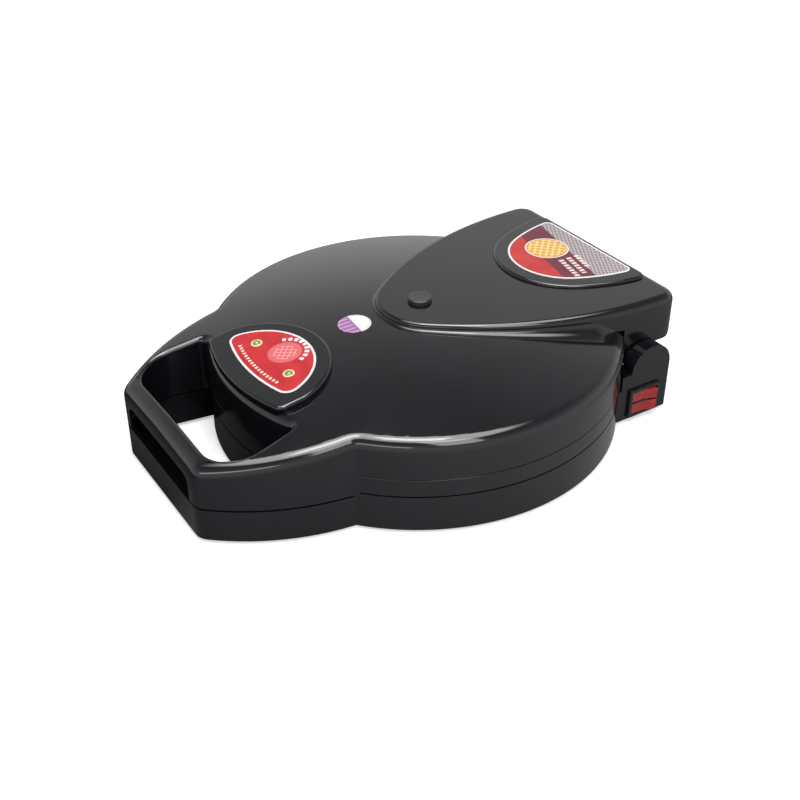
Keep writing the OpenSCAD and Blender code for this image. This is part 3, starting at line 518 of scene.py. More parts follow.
remove_faces(lid, is_open_below)
modify(lid, "MIRROR", use_axis=(True, False, False), use_clip=True, merge_threshold=0.00002)
face_outwards(lid)
modify(lid, "SOLIDIFY", thickness=LID_WALL, offset=-1, use_even_offset=False)

# %% Finger slot in the front bar
SLOT_HALF_W, SLOT_TOP, SLOT_R = 53 * MM, 48 * MM, 8 * MM
SLOT_CUT_H, SLOT_CUT_DEPTH = 40 * MM, 10 * MM
slot_z = DECK_Z + SLOT_TOP
bpy.ops.object.select_all(action="DESELECT")
bpy.ops.mesh.primitive_cube_add(
    size=1,
    location=(0, AXIS_Y - FRONT - MM, slot_z - SLOT_CUT_H / 2),
    scale=(2 * SLOT_HALF_W, SLOT_CUT_DEPTH, SLOT_CUT_H),
)
slot = bpy.context.object
bpy.ops.object.transform_apply(location=True, rotation=True, scale=True)
choose(slot, "edges", lambda a, b: min(a.z, b.z) > slot_z - MM and abs(a.x - b.x) < MM)
bpy.ops.mesh.bevel(offset=SLOT_R, segments=8)
done()
cut(lid, slot)
SHARP = math.radians(50)  # edges that turn by more than this get the last small bevel
modify(lid, "BEVEL", limit_method="ANGLE", angle_limit=SHARP, width=0.8 * MM, segments=2)
finish_surface(lid)
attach(lid, "lid")
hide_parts("lid_shell")
print("lid:", len(lid.data.polygons), "faces")

# %% [markdown]
# ## Bridge
#
# The bridge is a long tongue over the lid that ends in a boxy tail above the hinge. Its
# outline is two long arcs that meet in a round nose, so it is drawn as one face and pulled
# up. The top edge gets a fillet that widens from the nose to the tail. A prism takes the
# lower rear corner away in a round sweep. The block then loses its floor, gets a wall, and
# last the shape of the lid is taken out of it, so that it follows the dome at a hair's
# distance.

# %% The bridge's outline
low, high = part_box("bridge_shell")
BRIDGE_HALF_W = high.x
BRIDGE_TOP = high.z
BRIDGE_REAR = high.y - AXIS_Y
BRIDGE_TIP = low.y - AXIS_Y
TAIL_Z = low.z
BRIDGE_R = 297 * MM
BRIDGE_WIDEST = BRIDGE_REAR - 13 * MM
TAIL_CORNER_R = 14 * MM
TAIL_SWEEP_R = 12 * MM
side_x = BRIDGE_HALF_W - BRIDGE_R  # centre of the right side's arc
back = BRIDGE_WIDEST - BRIDGE_TIP
nose_r = (BRIDGE_R**2 - side_x**2 - back**2) / (2 * (BRIDGE_R - back))
nose_c = (0, BRIDGE_TIP + nose_r)
side_c = (side_x, BRIDGE_WIDEST)
meet_turn = angle_of(side_c, nose_c)
rear_corner_y = BRIDGE_REAR - TAIL_CORNER_R
rear_corner_x = side_x + math.sqrt(
    (BRIDGE_R - TAIL_CORNER_R) ** 2 - (rear_corner_y - BRIDGE_WIDEST) ** 2
)
rear_turn = angle_of(side_c, (rear_corner_x, rear_corner_y))
bridge_half = (
    arc(nose_c, nose_r, -90, meet_turn, 12)
    + arc(side_c, BRIDGE_R, meet_turn, rear_turn, 40)[1:]
    + arc((rear_corner_x, rear_corner_y), TAIL_CORNER_R, rear_turn, 90, 6)[1:]
    + [(0, BRIDGE_REAR)]
)
bridge = outline_face("bridge_cover", bridge_half, TAIL_Z)
extrude(bridge, BRIDGE_TOP - TAIL_Z)
print("bridge nose radius", round(nose_r, 4), "outline points", len(bridge_half))

# %% Round its top edge, wider towards the tail
NOSE_EDGE, TAIL_EDGE = 3 * MM, 7.5 * MM


def top_edge_width(y):
    """Width of the bridge's rounded top edge, at a distance behind the plate axis."""
    share = min(max(y / BRIDGE_REAR, 0), 1)
    return NOSE_EDGE + (TAIL_EDGE - NOSE_EDGE) * share


def bridge_edge_weight(a, b):
    """The edge's share of the widest bevel."""
    if not on_top_rim(a, b, BRIDGE_TOP):
        return 0
    return top_edge_width((a.y + b.y) / 2 - AXIS_Y) / TAIL_EDGE


weigh_edges(bridge, bridge_edge_weight)
modify(bridge, "BEVEL", limit_method="WEIGHT", width=TAIL_EDGE, segments=6, use_clamp_overlap=False)
modify(bridge, "MIRROR", use_axis=(True, False, False), use_clip=True, merge_threshold=0.00002)
remove_faces(bridge, lambda f: abs(f.normal.x) > 0.99 and abs(f.center.x) < TINY)
face_outwards(bridge)


# %% Sweep the lower rear corner, open the underside, give it a wall
BRIDGE_WALL = 2.4 * MM
BEYOND = 5 * MM  # how far a cutter reaches past what it cuts


def prism_along_x(name, points, half_length):
    """A prism from points (y, z) drawn around the plate axis, as a cutter."""
    bpy.ops.object.select_all(action="DESELECT")
    bpy.ops.mesh.primitive_circle_add(vertices=len(points), radius=0.1, fill_type="NGON")
    obj = bpy.context.object
    obj.name = name
    for vertex, (y, z) in zip(obj.data.vertices, points):
        vertex.co = (-half_length, y + AXIS_Y, z)
    edit_all(obj)
    bpy.ops.mesh.extrude_region_move(TRANSFORM_OT_translate={"value": (2 * half_length, 0, 0)})
    bpy.ops.mesh.select_all(action="SELECT")
    bpy.ops.mesh.normals_make_consistent(inside=False)
    done()
    return obj


sweep_c = (BRIDGE_REAR - TAIL_SWEEP_R, TAIL_Z + TAIL_SWEEP_R)
sweep = arc(sweep_c, TAIL_SWEEP_R, -90, 0, 8) + [
    (BRIDGE_REAR + BEYOND, TAIL_Z + TAIL_SWEEP_R),
    (BRIDGE_REAR + BEYOND, TAIL_Z - BEYOND),
    (BRIDGE_REAR - TAIL_SWEEP_R, TAIL_Z - BEYOND),
]
cut(bridge, prism_along_x("tail_sweep", sweep, 2 * BRIDGE_HALF_W))
remove_faces(bridge, lambda f: f.normal.z < -0.999 and f.center.z < TAIL_Z + 0.1 * MM)
modify(bridge, "SOLIDIFY", thickness=BRIDGE_WALL, offset=-1, use_even_offset=False)

# %% Take the lid's shape out of it
DOME_GAP, WALL_GAP = 0.15 * MM, 0.3 * MM  # from the lid's dome, and from its round wall
CAP_H = 40 * MM  # how much of the dome's sphere is kept
DRUM_H = 200 * MM
bpy.ops.object.select_all(action="DESELECT")
bpy.ops.mesh.primitive_uv_sphere_add(
    segments=256,
    ring_count=512,
    radius=DOME_R + DOME_GAP,
    location=(0, AXIS_Y, CROWN_Z - DOME_R),
)
dome = bpy.context.object
bpy.ops.object.transform_apply(location=True, rotation=True, scale=True)
remove_faces(dome, lambda f: f.center.z < CROWN_Z - CAP_H)
rim = max(math.hypot(v.co.x, v.co.y - AXIS_Y) for v in dome.data.vertices)
print("dome cap radius", round(rim, 4))
edit_all(dome)
bpy.ops.mesh.select_mode(type="EDGE")
bpy.ops.mesh.select_all(action="DESELECT")
bpy.ops.mesh.select_non_manifold()
bpy.ops.mesh.edge_face_add()
done()
bpy.ops.object.select_all(action="DESELECT")
bpy.ops.mesh.primitive_cylinder_add(
    vertices=192,
    radius=BODY_R + WALL_GAP,
    depth=DRUM_H,
    location=(0, AXIS_Y, CROWN_Z - DRUM_H / 4),
)
drum = bpy.context.object
bpy.ops.object.transform_apply(location=True, rotation=True, scale=True)
modify(drum, "BOOLEAN", object=dome, operation="INTERSECT", solver="EXACT")
bpy.data.objects.remove(dome)
cut(bridge, drum)
modify(bridge, "BEVEL", limit_method="ANGLE", angle_limit=SHARP, width=0.35 * MM, segments=1)
finish_surface(bridge)
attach(bridge, "lid")
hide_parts("bridge_shell")
print("bridge:", len(bridge.data.polygons), "faces")

# %% [markdown]
# The bridge doesn't stand on the lid with a sharp inner corner: a small hollow curve leads
# from its side onto the dome. It is a long strip, made from a grid whose points are laid
# along the bridge's outline. Its radius grows with the height of the side above it, and fades
# out where the lid's own edge begins.

# %% The hollow curve between bridge and lid
HOLLOW_STEPS = 6
HOLLOW_WIDTH = 1.6  # how much wider it is than high
HOLLOW_MIN_R = 1.2 * MM
HOLLOW_SHARE = 0.85  # of the side's height below the rounded top edge
HOLLOW_LIFT = 0.05 * MM  # keeps it from lying in the dome's own surface
SINK = 1 * MM  # how far its closed back lies inside the shells
FADE_FROM, FADE_TO = 142 * MM, 158 * MM  # distance from the plate axis
path = [(p, nose_c) for p in arc(nose_c, nose_r, -90, meet_turn, 14)]
side_points = arc(side_c, BRIDGE_R, meet_turn, rear_turn, 90)[1:]
path += [(p, side_c) for p in side_points if math.hypot(*p) < FADE_TO]
right_path = []
for (x, y), centre in path:
    away = (Vector((x, y)) - Vector(centre)).normalized()
    side_h = BRIDGE_TOP - CROWN_Z + dome_drop(x, y)
    fade = min((FADE_TO - math.hypot(x, y)) / (FADE_TO - FADE_FROM), 1)
    r = fade * max(HOLLOW_MIN_R, HOLLOW_SHARE * (side_h - top_edge_width(y)))
    right_path.append((x, y, away.x, away.y, r))
left_path = [(-x, y, -ax, ay, r) for x, y, ax, ay, r in reversed(right_path[1:])]
path = left_path + right_path

# Each point of the section: shares of the radius outwards and up, then steps back and down
turns = [math.radians(90 * i / HOLLOW_STEPS) for i in range(HOLLOW_STEPS + 1)]
foot = (1, 0, 0, SINK)
curve = [(1 - math.sin(t), 1 - math.cos(t), 0, 0) for t in turns]
section = [foot] + curve + [(0, 1, SINK, 0), (0, 0, SINK, SINK), foot]
bpy.ops.object.select_all(action="DESELECT")
bpy.ops.mesh.primitive_grid_add(
    x_subdivisions=len(path) - 1, y_subdivisions=len(section) - 1, size=1, location=(0, 0, 0)
)
hollow = bpy.context.object
hollow.name = hollow.data.name = "bridge_hollow"
for vertex in hollow.data.vertices:
    x, y, away_x, away_y, r = path[round((vertex.co.x + 0.5) * (len(path) - 1))]
    out, up, back, down = section[round((vertex.co.y + 0.5) * (len(section) - 1))]
    out = out * r * HOLLOW_WIDTH - back
    px, py = x + away_x * out, y + away_y * out
    z = CROWN_Z - dome_drop(px, py) + up * r + HOLLOW_LIFT - down
    vertex.co = (px, py + AXIS_Y, z)
edit_all(hollow)
bpy.ops.mesh.remove_doubles(threshold=0.00001)
bpy.ops.mesh.select_all(action="SELECT")
bpy.ops.mesh.fill_holes(sides=0)
bpy.ops.mesh.normals_make_consistent(inside=False)
done()
finish_surface(hollow, 60)
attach(hollow, "lid")
print("hollow curve:", len(hollow.data.polygons), "faces")

# %% [markdown]
# ## Shells kept from the frame
#
# The base, the lid's ring, the feet and the switch with its rockers already have the right
# shape, but their edges are knife sharp, which no moulding is. A copy of each is welded, its
# flat triangles become whole faces again, and a small bevel runs along every real edge.

# %% Soften copies of the frame's shells
def soft_node(node, name, body, width):
    """A welded copy of a frame piece with fine round edges, which replaces that piece."""
    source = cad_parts[node]
    bpy.ops.object.select_all(action="DESELECT")
    piece = source.copy()
    piece.data = source.data.copy()
    piece.name = piece.data.name = name
    bpy.context.scene.collection.objects.link(piece)
    edit_all(piece)
    bpy.ops.mesh.remove_doubles(threshold=0.00001)
    bpy.ops.mesh.dissolve_limited(angle_limit=math.radians(1))
    done()
    modify(
        piece, "BEVEL", limit_method="ANGLE", angle_limit=math.radians(40), width=width, segments=2
    )
    finish_surface(piece, 35)
    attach(piece, body)
    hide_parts(node)
    print(name, len(piece.data.polygons), "faces")
    return piece


base = soft_node("base_shell", "base_housing", "base", 0.8 * MM)
band = soft_node("lid_ring", "lid_band", "lid", 0.7 * MM)
switch = soft_node("switch_housing", "switch_frame", "base", 0.5 * MM)
feet = soft_node("rubber_feet", "soft_feet", "base", 0.8 * MM)
upper_rocker = soft_node("upper_rocker", "upper_rocker_cap", "upper_rocker", 0.5 * MM)
lower_rocker = soft_node("lower_rocker", "lower_rocker_cap", "lower_rocker", 0.5 * MM)

# %% [markdown]
# ## Pads, plug and lamp rings
#
# Two raised pads carry the labels. Each is its outline pulled up, with a rounded top edge.
# The front pad leans with the dome, so it is modelled flat and then turned about a point on
# its middle line. The plug over the bridge's screw is a low button, and each lamp looks out
# of a pale ring.

# %% Front pad
PAD_R = 59.5 * MM
PAD_CY = -(BODY_R - 20.5 * MM)
PAD_FRONT_R = BODY_R - 1.5 * MM
PAD_HALF_W = PAD_R - 1.5 * MM
PAD_MID = Vector((0, PAD_CY + 23.5 * MM))
PAD_H = 3.5 * MM
PAD_FOOT = 11 * MM  # how far its foot lies below its top, inside the lid
PAD_TILT = math.asin(-PAD_MID.y / DOME_R)
pad_top_z = CROWN_Z - dome_drop(0, PAD_MID.y) + PAD_H


def pad_outline(inset, front_inset, corner):
    """The pad's outline, anticlockwise from its right rear, with two round front corners."""
    r = PAD_R - inset
    half = PAD_HALF_W - inset
    front_r = PAD_FRONT_R - front_inset
    rise = math.sqrt(r * r - half * half)
    start = angle_of((0, PAD_CY), (half, PAD_CY + rise))
    corner_x = half - corner
    corner_y = -math.sqrt((front_r - corner) ** 2 - corner_x**2)
    turn = angle_of((0, 0), (corner_x, corner_y))
    return (
        arc((0, PAD_CY), r, start, 180 - start, 48)
        + arc((-corner_x, corner_y), corner, 180, 180 - turn, 8)
        + arc((0, 0), front_r, -180 - turn, turn, 36)[1:]
        + arc((corner_x, corner_y), corner, turn, 0, 8)[1:]
    )


def tilt_onto_lid(obj):
    """Turn a flat piece with its top at height 0 to lie on the pad."""
    turn = Matrix.Rotation(PAD_TILT, 4, "X")
    pivot = Vector((0, PAD_MID.y + AXIS_Y, 0))
    shift = Matrix.Translation(Vector((0, PAD_MID.y + AXIS_Y, pad_top_z)))
    obj.data.transform(shift @ turn @ Matrix.Translation(-pivot))


def round_top(obj, top, radius, segments=5):
    """Round the rim of a flat top."""
    choose(obj, "edges", lambda a, b: min(a.z, b.z) > top - TINY)
    bpy.ops.mesh.bevel(offset=radius, segments=segments)
    done()


def raised_pad(name, outline, bottom, top, edge_r):
    """A plate of an outline, with a rounded top edge."""
    pad = outline_face(name, outline, bottom)
    extrude(pad, top - bottom)
    round_top(pad, top, edge_r)
    return pad


front_pad = raised_pad(
    "front_pad",
    pad_outline(inset=0, front_inset=0, corner=8 * MM),
    bottom=-PAD_FOOT,
    top=0,
    edge_r=2.4 * MM,
)
tilt_onto_lid(front_pad)
finish_surface(front_pad, 30)
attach(front_pad, "lid")
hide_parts("indicator_pad")

# %% Rear pad
REAR_PAD_TIP = BRIDGE_REAR - 97 * MM
REAR_PAD_R = 150 * MM
REAR_PAD_CX = REAR_PAD_R - 68 * MM
REAR_PAD_CY = BRIDGE_REAR + 2 * MM
REAR_PAD_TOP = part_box("rear_label_pad")[1].z


def rear_outline(inset, end, corner):
    """The rear pad's outline: a round nose, two long arcs, round corners and a straight rear."""
    r = REAR_PAD_R - inset
    tip = REAR_PAD_TIP + inset
    rear = BRIDGE_REAR - end
    depth = REAR_PAD_CY - tip
    small = (r * r - REAR_PAD_CX**2 - depth * depth) / (2 * (r - depth))
    centre = (0, tip + small)
    right_c = (-REAR_PAD_CX, REAR_PAD_CY)
    turn = angle_of(right_c, centre)
    corner_y = rear - corner
    corner_x = math.sqrt((r - corner) ** 2 - (REAR_PAD_CY - corner_y) ** 2) - REAR_PAD_CX
    rear_turn = angle_of(right_c, (corner_x, corner_y))
    right = (
        arc(centre, small, -90, turn, 16)
        + arc(right_c, r, turn, rear_turn, 24)[1:]
        + arc((corner_x, corner_y), corner, rear_turn, 90, 8)[1:]
    )
    left = [(-x, y) for x, y in reversed(right[1:])]
    return right + left


rear_pad = raised_pad(
    "rear_pad",
    rear_outline(inset=0, end=6 * MM, corner=7 * MM),
    bottom=BRIDGE_TOP - 0.5 * MM,
    top=REAR_PAD_TOP,
    edge_r=2 * MM,
)
finish_surface(rear_pad, 30)
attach(rear_pad, "lid")
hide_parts("rear_label_pad")

# %% Labels
LABEL_T = 0.4 * MM
LABEL_SINK = 0.1 * MM  # the film reaches this far into its pad
LABEL_EDGE_R = 0.12 * MM
BORDER = 1.6 * MM


def border(obj, top):
    """Split a label's top into a white border and a printed field, its second material."""
    choose(obj, "faces", lambda f: f.normal.z > 0.99 and f.center.z > top - TINY)
    bpy.ops.mesh.inset(thickness=BORDER)
    done()
    obj.data.materials.append(None)
    obj.data.materials.append(None)
    for face in obj.data.polygons:
        if face.select:
            face.material_index = 1


front_label = raised_pad(
    "front_print",
    pad_outline(inset=11.5 * MM, front_inset=15 * MM, corner=9 * MM),
    bottom=-LABEL_SINK,
    top=LABEL_T,
    edge_r=LABEL_EDGE_R,
)
border(front_label, LABEL_T)
tilt_onto_lid(front_label)
finish_surface(front_label, 30)
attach(front_label, "lid")
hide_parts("front_label")

rear_label = raised_pad(
    "rear_print",
    rear_outline(inset=12 * MM, end=10 * MM, corner=6 * MM),
    bottom=REAR_PAD_TOP - LABEL_SINK,
    top=REAR_PAD_TOP + LABEL_T,
    edge_r=LABEL_EDGE_R,
)
border(rear_label, REAR_PAD_TOP + LABEL_T)
finish_surface(rear_label, 30)
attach(rear_label, "lid")
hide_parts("rear_label")

# %% Plug over the screw
plug_low, plug_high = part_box("screw_plug")
PLUG_R = (plug_high.x - plug_low.x) / 2
PLUG_EDGE_R = 1.3 * MM
DISH_RIM, DISH_SLOPE, DISH_FLAT = 1.6 * MM, 0.8 * MM, 1.5 * MM
DISH_DEPTH = 0.35 * MM
bpy.ops.object.select_all(action="DESELECT")
bpy.ops.mesh.primitive_cylinder_add(
    vertices=72,
    radius=PLUG_R,
    depth=plug_high.z - plug_low.z,
    location=(plug_low + plug_high) / 2,
)
plug = bpy.context.object
plug.name = plug.data.name = "screw_button"
bpy.ops.object.transform_apply(location=True, rotation=True, scale=True)
plug_top = plug_high.z
choose(plug, "edges", lambda a, b: min(a.z, b.z) > plug_top - TINY)
bpy.ops.mesh.bevel(offset=PLUG_EDGE_R, segments=6)
done()
# A shallow dish with a soft rim in the top
choose(plug, "faces", lambda f: f.normal.z > 0.9999 and f.center.z > plug_top - 0.1 * MM)
bpy.ops.mesh.inset(thickness=DISH_RIM)
bpy.ops.mesh.inset(thickness=DISH_SLOPE)
bpy.ops.transform.translate(value=(0, 0, -DISH_DEPTH))
bpy.ops.mesh.inset(thickness=DISH_FLAT)
done()
finish_surface(plug, 40)
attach(plug, "lid")
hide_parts("screw_plug")

# %% Pale rings around the lamps
LAMP_X, LAMP_Y = 25.5 * MM, PAD_CY + 17.5 * MM
RING_R, RING_TUBE_R = 3.75 * MM, 0.75 * MM
RING_FLATTEN = 0.7


def lamp_ring(name, x):
    """A slightly flattened ring that lies on the front label."""
    bpy.ops.object.select_all(action="DESELECT")
    bpy.ops.mesh.primitive_torus_add(
        major_radius=RING_R, minor_radius=RING_TUBE_R, major_segments=48, minor_segments=12
    )
    ring = bpy.context.object
    ring.name = ring.data.name = name
    edit_all(ring)
    bpy.ops.transform.resize(value=(1, 1, RING_FLATTEN))
    done()
    ring.data.transform(Matrix.Translation((x, LAMP_Y + AXIS_Y, LABEL_T)))
    tilt_onto_lid(ring)
    finish_surface(ring, 60)
    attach(ring, "lid")
    return ring


rings = [lamp_ring("left_lamp_ring", -LAMP_X), lamp_ring("right_lamp_ring", LAMP_X)]

# %% [markdown]
# ## Finishes
#
# Nearly all of this machine is one black plastic from a polished mould. What makes it read
# as plastic is small: the surface is never perfectly even, so its roughness drifts a little
# from place to place, and a very fine ripple breaks up the reflections. `surface` builds
# every plain finish from those same parts. Its patterns use object coordinates, so their
# scale is real: a scale of 100 gives spots of about 10 mm.

# %% A plain finish
NOISE_MIDDLE = (0.3, 0.7)  # nearly all of a noise lies between these
ROUGHNESS_SCALE = 2.3  # the patches of roughness are this much finer than those of colour
RIPPLE_STRENGTH = 0.6


def noise(tree, scale, detail, stretch=(1, 1, 1)):
    """Noise on object coordinates, stretched along an axis if wanted."""
    place = tree.nodes.new("ShaderNodeTexCoord")
    mapping = tree.nodes.new("ShaderNodeMapping")
    mapping.inputs["Scale"].default_value = stretch
    texture = tree.nodes.new("ShaderNodeTexNoise")
    texture.inputs["Scale"].default_value = scale
    texture.inputs["Detail"].default_value = detail
    tree.links.new(place.outputs["Object"], mapping.inputs["Vector"])
    tree.links.new(mapping.outputs["Vector"], texture.inputs["Vector"])
    return texture.outputs["Fac"]


def spread(tree, value, low, high):
    """Map the middle part of a noise onto a range."""
    return mapped(tree, value, NOISE_MIDDLE, (low, high))


def blend(tree, factor, first, second):
    """Mix two colours, each a socket or a plain colour."""
    node = tree.nodes.new("ShaderNodeMix")
    node.data_type = "RGBA"
    factor_slot, first_slot, second_slot = node.inputs[0], node.inputs[6], node.inputs[7]
    for slot, value in ((factor_slot, factor), (first_slot, first), (second_slot, second)):
        if isinstance(value, bpy.types.NodeSocket):
            tree.links.new(value, slot)
        elif slot.type == "RGBA":
            slot.default_value = (*value, 1)
        else:
            slot.default_value = value
    return node.outputs[2]


def surface(name, colours, patch, rough, ripple, metallic=0, stretch=(1, 1, 1)):
    """A finish from two close colours in patches, a range of roughness and a fine ripple.

    patch is the scale of the patches; ripple is the scale and depth of the bumps.
    """
    material = bpy.data.materials.new(name)
    material.use_nodes = True
    tree = material.node_tree
    shader = tree.nodes["Principled BSDF"]
    shader.inputs["Metallic"].default_value = metallic
    shader.inputs["IOR"].default_value = 1.5
    patches = noise(tree, patch, 3, stretch)
    tree.links.new(blend(tree, spread(tree, patches, 0, 1), *colours), shader.inputs["Base Color"])
    fine_patches = noise(tree, patch * ROUGHNESS_SCALE, 4, stretch)
    tree.links.new(spread(tree, fine_patches, *rough), shader.inputs["Roughness"])
    ripple_scale, ripple_depth = ripple
    bump = tree.nodes.new("ShaderNodeBump")
    bump.inputs["Distance"].default_value = ripple_depth
    bump.inputs["Strength"].default_value = RIPPLE_STRENGTH
    tree.links.new(noise(tree, ripple_scale, 2, stretch), bump.inputs["Height"])
    tree.links.new(bump.outputs["Normal"], shader.inputs["Normal"])
    return material


black_gloss = surface(
    "polished_black_plastic", ((0.004, 0.0035, 0.005), (0.007, 0.006, 0.009)), 14,
    (0.08, 0.14), (420, 0.008 * MM),
)
black_satin = surface(
    "satin_black_plastic", ((0.012, 0.012, 0.013), (0.02, 0.02, 0.021)), 40, (0.35, 0.5),
    (1500, 0.03 * MM),
)
switch_black = surface(
    "switch_plastic", ((0.008, 0.008, 0.009), (0.014, 0.014, 0.014)), 60, (0.22, 0.34),
    (1200, 0.015 * MM),
)
foot_rubber = surface(
    "foot_rubber", ((0.02, 0.02, 0.02), (0.035, 0.034, 0.033)), 120, (0.7, 0.9), (900, 0.08 * MM)
)
zinc_steel = surface(
    "zinc_plated_steel", ((0.55, 0.56, 0.58), (0.68, 0.69, 0.7)), 90, (0.25, 0.42),
    (700, 0.02 * MM), metallic=1,
)
rolled_steel = surface(
    "rolled_steel_sheet", ((0.5, 0.5, 0.52), (0.66, 0.66, 0.67)), 25, (0.3, 0.5),
    (500, 0.03 * MM), metallic=1, stretch=(1, 14, 1),
)
painted_steel = surface(
    "black_painted_steel", ((0.012, 0.012, 0.013), (0.02, 0.02, 0.02)), 60, (0.4, 0.55),
    (1100, 0.04 * MM),
)
baked_tube = surface(
    "heat_tinted_tube", ((0.13, 0.09, 0.07), (0.24, 0.2, 0.18)), 60, (0.4, 0.6),
    (800, 0.03 * MM), metallic=1,
)
plate_coating = surface(
    "non_stick_coating", ((0.035, 0.034, 0.035), (0.06, 0.058, 0.058)), 180, (0.38, 0.55),
    (2200, 0.05 * MM),
)
bush_bronze = surface(
    "oiled_bronze", ((0.14, 0.09, 0.05), (0.2, 0.13, 0.08)), 200, (0.3, 0.45),
    (1500, 0.02 * MM), metallic=1,
)
pale_ceramic = surface(
    "pale_ceramic", ((0.72, 0.68, 0.6), (0.8, 0.77, 0.7)), 80, (0.3, 0.45), (900, 0.03 * MM)
)
terminal_white = surface(
    "terminal_plastic", ((0.74, 0.73, 0.68), (0.8, 0.79, 0.75)), 60, (0.35, 0.5), (900, 0.02 * MM)
)
glass_sleeve = surface(
    "glass_fibre_sleeve", ((0.66, 0.63, 0.55), (0.82, 0.8, 0.73)), 900, (0.6, 0.85),
    (1600, 0.1 * MM),
)
board_green = surface(
    "circuit_board", ((0.02, 0.12, 0.05), (0.03, 0.18, 0.07)), 150, (0.25, 0.4), (900, 0.02 * MM)
)
ring_cream = surface(
    "cream_ring_plastic", ((0.8, 0.66, 0.42), (0.87, 0.75, 0.52)), 200, (0.25, 0.38),
    (900, 0.02 * MM),
)

# %% [markdown]
# The lamps and the rockers are tinted clear plastic. Light goes into them and comes back
# coloured, so they get some subsurface scattering under a smooth skin, and the rockers a
# clear coat as well.

# %% Tinted clear plastics
lens_green = surface(
    "green_lens", ((0.16, 0.26, 0.03), (0.24, 0.36, 0.06)), 300, (0.08, 0.14), (900, 0.01 * MM)
)
lens = lens_green.node_tree.nodes["Principled BSDF"]
lens.inputs["Subsurface Weight"].default_value = 0.4
lens.inputs["Subsurface Scale"].default_value = 2 * MM
lens.inputs["Subsurface Radius"].default_value = (0.6, 1.0, 0.2)

rocker_red = surface(
    "red_rocker_plastic", ((0.24, 0.006, 0.008), (0.36, 0.015, 0.016)), 160, (0.08, 0.16),
    (700, 0.02 * MM),
)
red = rocker_red.node_tree.nodes["Principled BSDF"]
red.inputs["Subsurface Weight"].default_value = 0.35
red.inputs["Subsurface Scale"].default_value = 3 * MM
red.inputs["Subsurface Radius"].default_value = (1.0, 0.15, 0.1)
red.inputs["Coat Weight"].default_value = 0.6
red.inputs["Coat Roughness"].default_value = 0.05

# %% [markdown]
# ## Printed labels
#
# The prints are drawn by maths on the object coordinates: a disc is all places nearer to its
# centre than its radius, a stripe is all places between two lines, and a row of squares is a
# stripe cut by a repeating wave. Each shape gives a mask of 0 or 1, and `blend` paints a
# colour where its mask is 1. The white border is a face of its own, made by the inset.

# %% Masks
def calc(tree, operation, *values):
    """One step of arithmetic on sockets or plain numbers."""
    node = tree.nodes.new("ShaderNodeMath")
    node.operation = operation
    for slot, value in zip(node.inputs, values):
        if isinstance(value, bpy.types.NodeSocket):
            tree.links.new(value, slot)
        else:
            slot.default_value = value
    return node.outputs[0]


def position(tree, centre, turn=0):
    """Place on the lid around a centre, turned by an angle in degrees."""
    place = tree.nodes.new("ShaderNodeTexCoord")
    moved = tree.nodes.new("ShaderNodeVectorMath")
    moved.operation = "SUBTRACT"
    moved.inputs[1].default_value = (centre[0], centre[1] + AXIS_Y, 0)
    turned = tree.nodes.new("ShaderNodeMapping")
    turned.inputs["Rotation"].default_value = (0, 0, math.radians(turn))
    parts = tree.nodes.new("ShaderNodeSeparateXYZ")
    tree.links.new(place.outputs["Object"], moved.inputs[0])
    tree.links.new(moved.outputs["Vector"], turned.inputs["Vector"])
    tree.links.new(turned.outputs["Vector"], parts.inputs["Vector"])
    return parts.outputs["X"], parts.outputs["Y"]


def radius_from(tree, centre):
    """Distance from a centre on the lid."""
    x, y = position(tree, centre)
    squares = calc(tree, "ADD", calc(tree, "MULTIPLY", x, x), calc(tree, "MULTIPLY", y, y))
    return calc(tree, "SQRT", squares)


def disc_mask(tree, centre, radius):
    """1 inside a disc."""
    return calc(tree, "LESS_THAN", radius_from(tree, centre), radius)


def between(tree, value, low, high):
    """1 where a value lies between two numbers."""
    above = calc(tree, "GREATER_THAN", value, low)
    return calc(tree, "MULTIPLY", above, calc(tree, "LESS_THAN", value, high))


def repeat(tree, value, pitch, share):
    """1 on the given share of every pitch."""
    part = calc(tree, "FRACT", calc(tree, "DIVIDE", value, pitch))
    return calc(tree, "LESS_THAN", part, share)


def both(tree, first, second):
    """1 where two masks are both 1."""
    return calc(tree, "MULTIPLY", first, second)


def lattice_mask(tree, centre, turn, pitch, share):
    """Lines of a waffle grid."""
    x, y = position(tree, centre, turn)
    return calc(tree, "MAXIMUM", repeat(tree, x, pitch, share), repeat(tree, y, pitch, share))


def dash_ring_mask(tree, centre, inner, outer, start, end, count, share):
    """Dashes along an arc around a centre, between two angles in degrees."""
    x, y = position(tree, centre)
    turn = calc(tree, "MULTIPLY", calc(tree, "ARCTAN2", y, x), 180 / math.pi)
    on_arc = between(tree, turn, start, end)
    dashes = repeat(tree, calc(tree, "SUBTRACT", turn, start), (end - start) / count, share)
    ring = between(tree, radius_from(tree, centre), inner, outer)
    return both(tree, ring, both(tree, on_arc, dashes))


def print_finish(name, colour):
    """A printed film with a dull skin, returned with its node tree."""
    material = surface(name, (colour, colour), 40, (0.35, 0.5), (600, 0.01 * MM))
    material.node_tree.nodes["Principled BSDF"].inputs["Specular IOR Level"].default_value = 0.25
    return material, material.node_tree


def show_art(tree, art):
    """Use the drawn colours as the film's own."""
    tree.links.new(art, tree.nodes["Principled BSDF"].inputs["Base Color"])


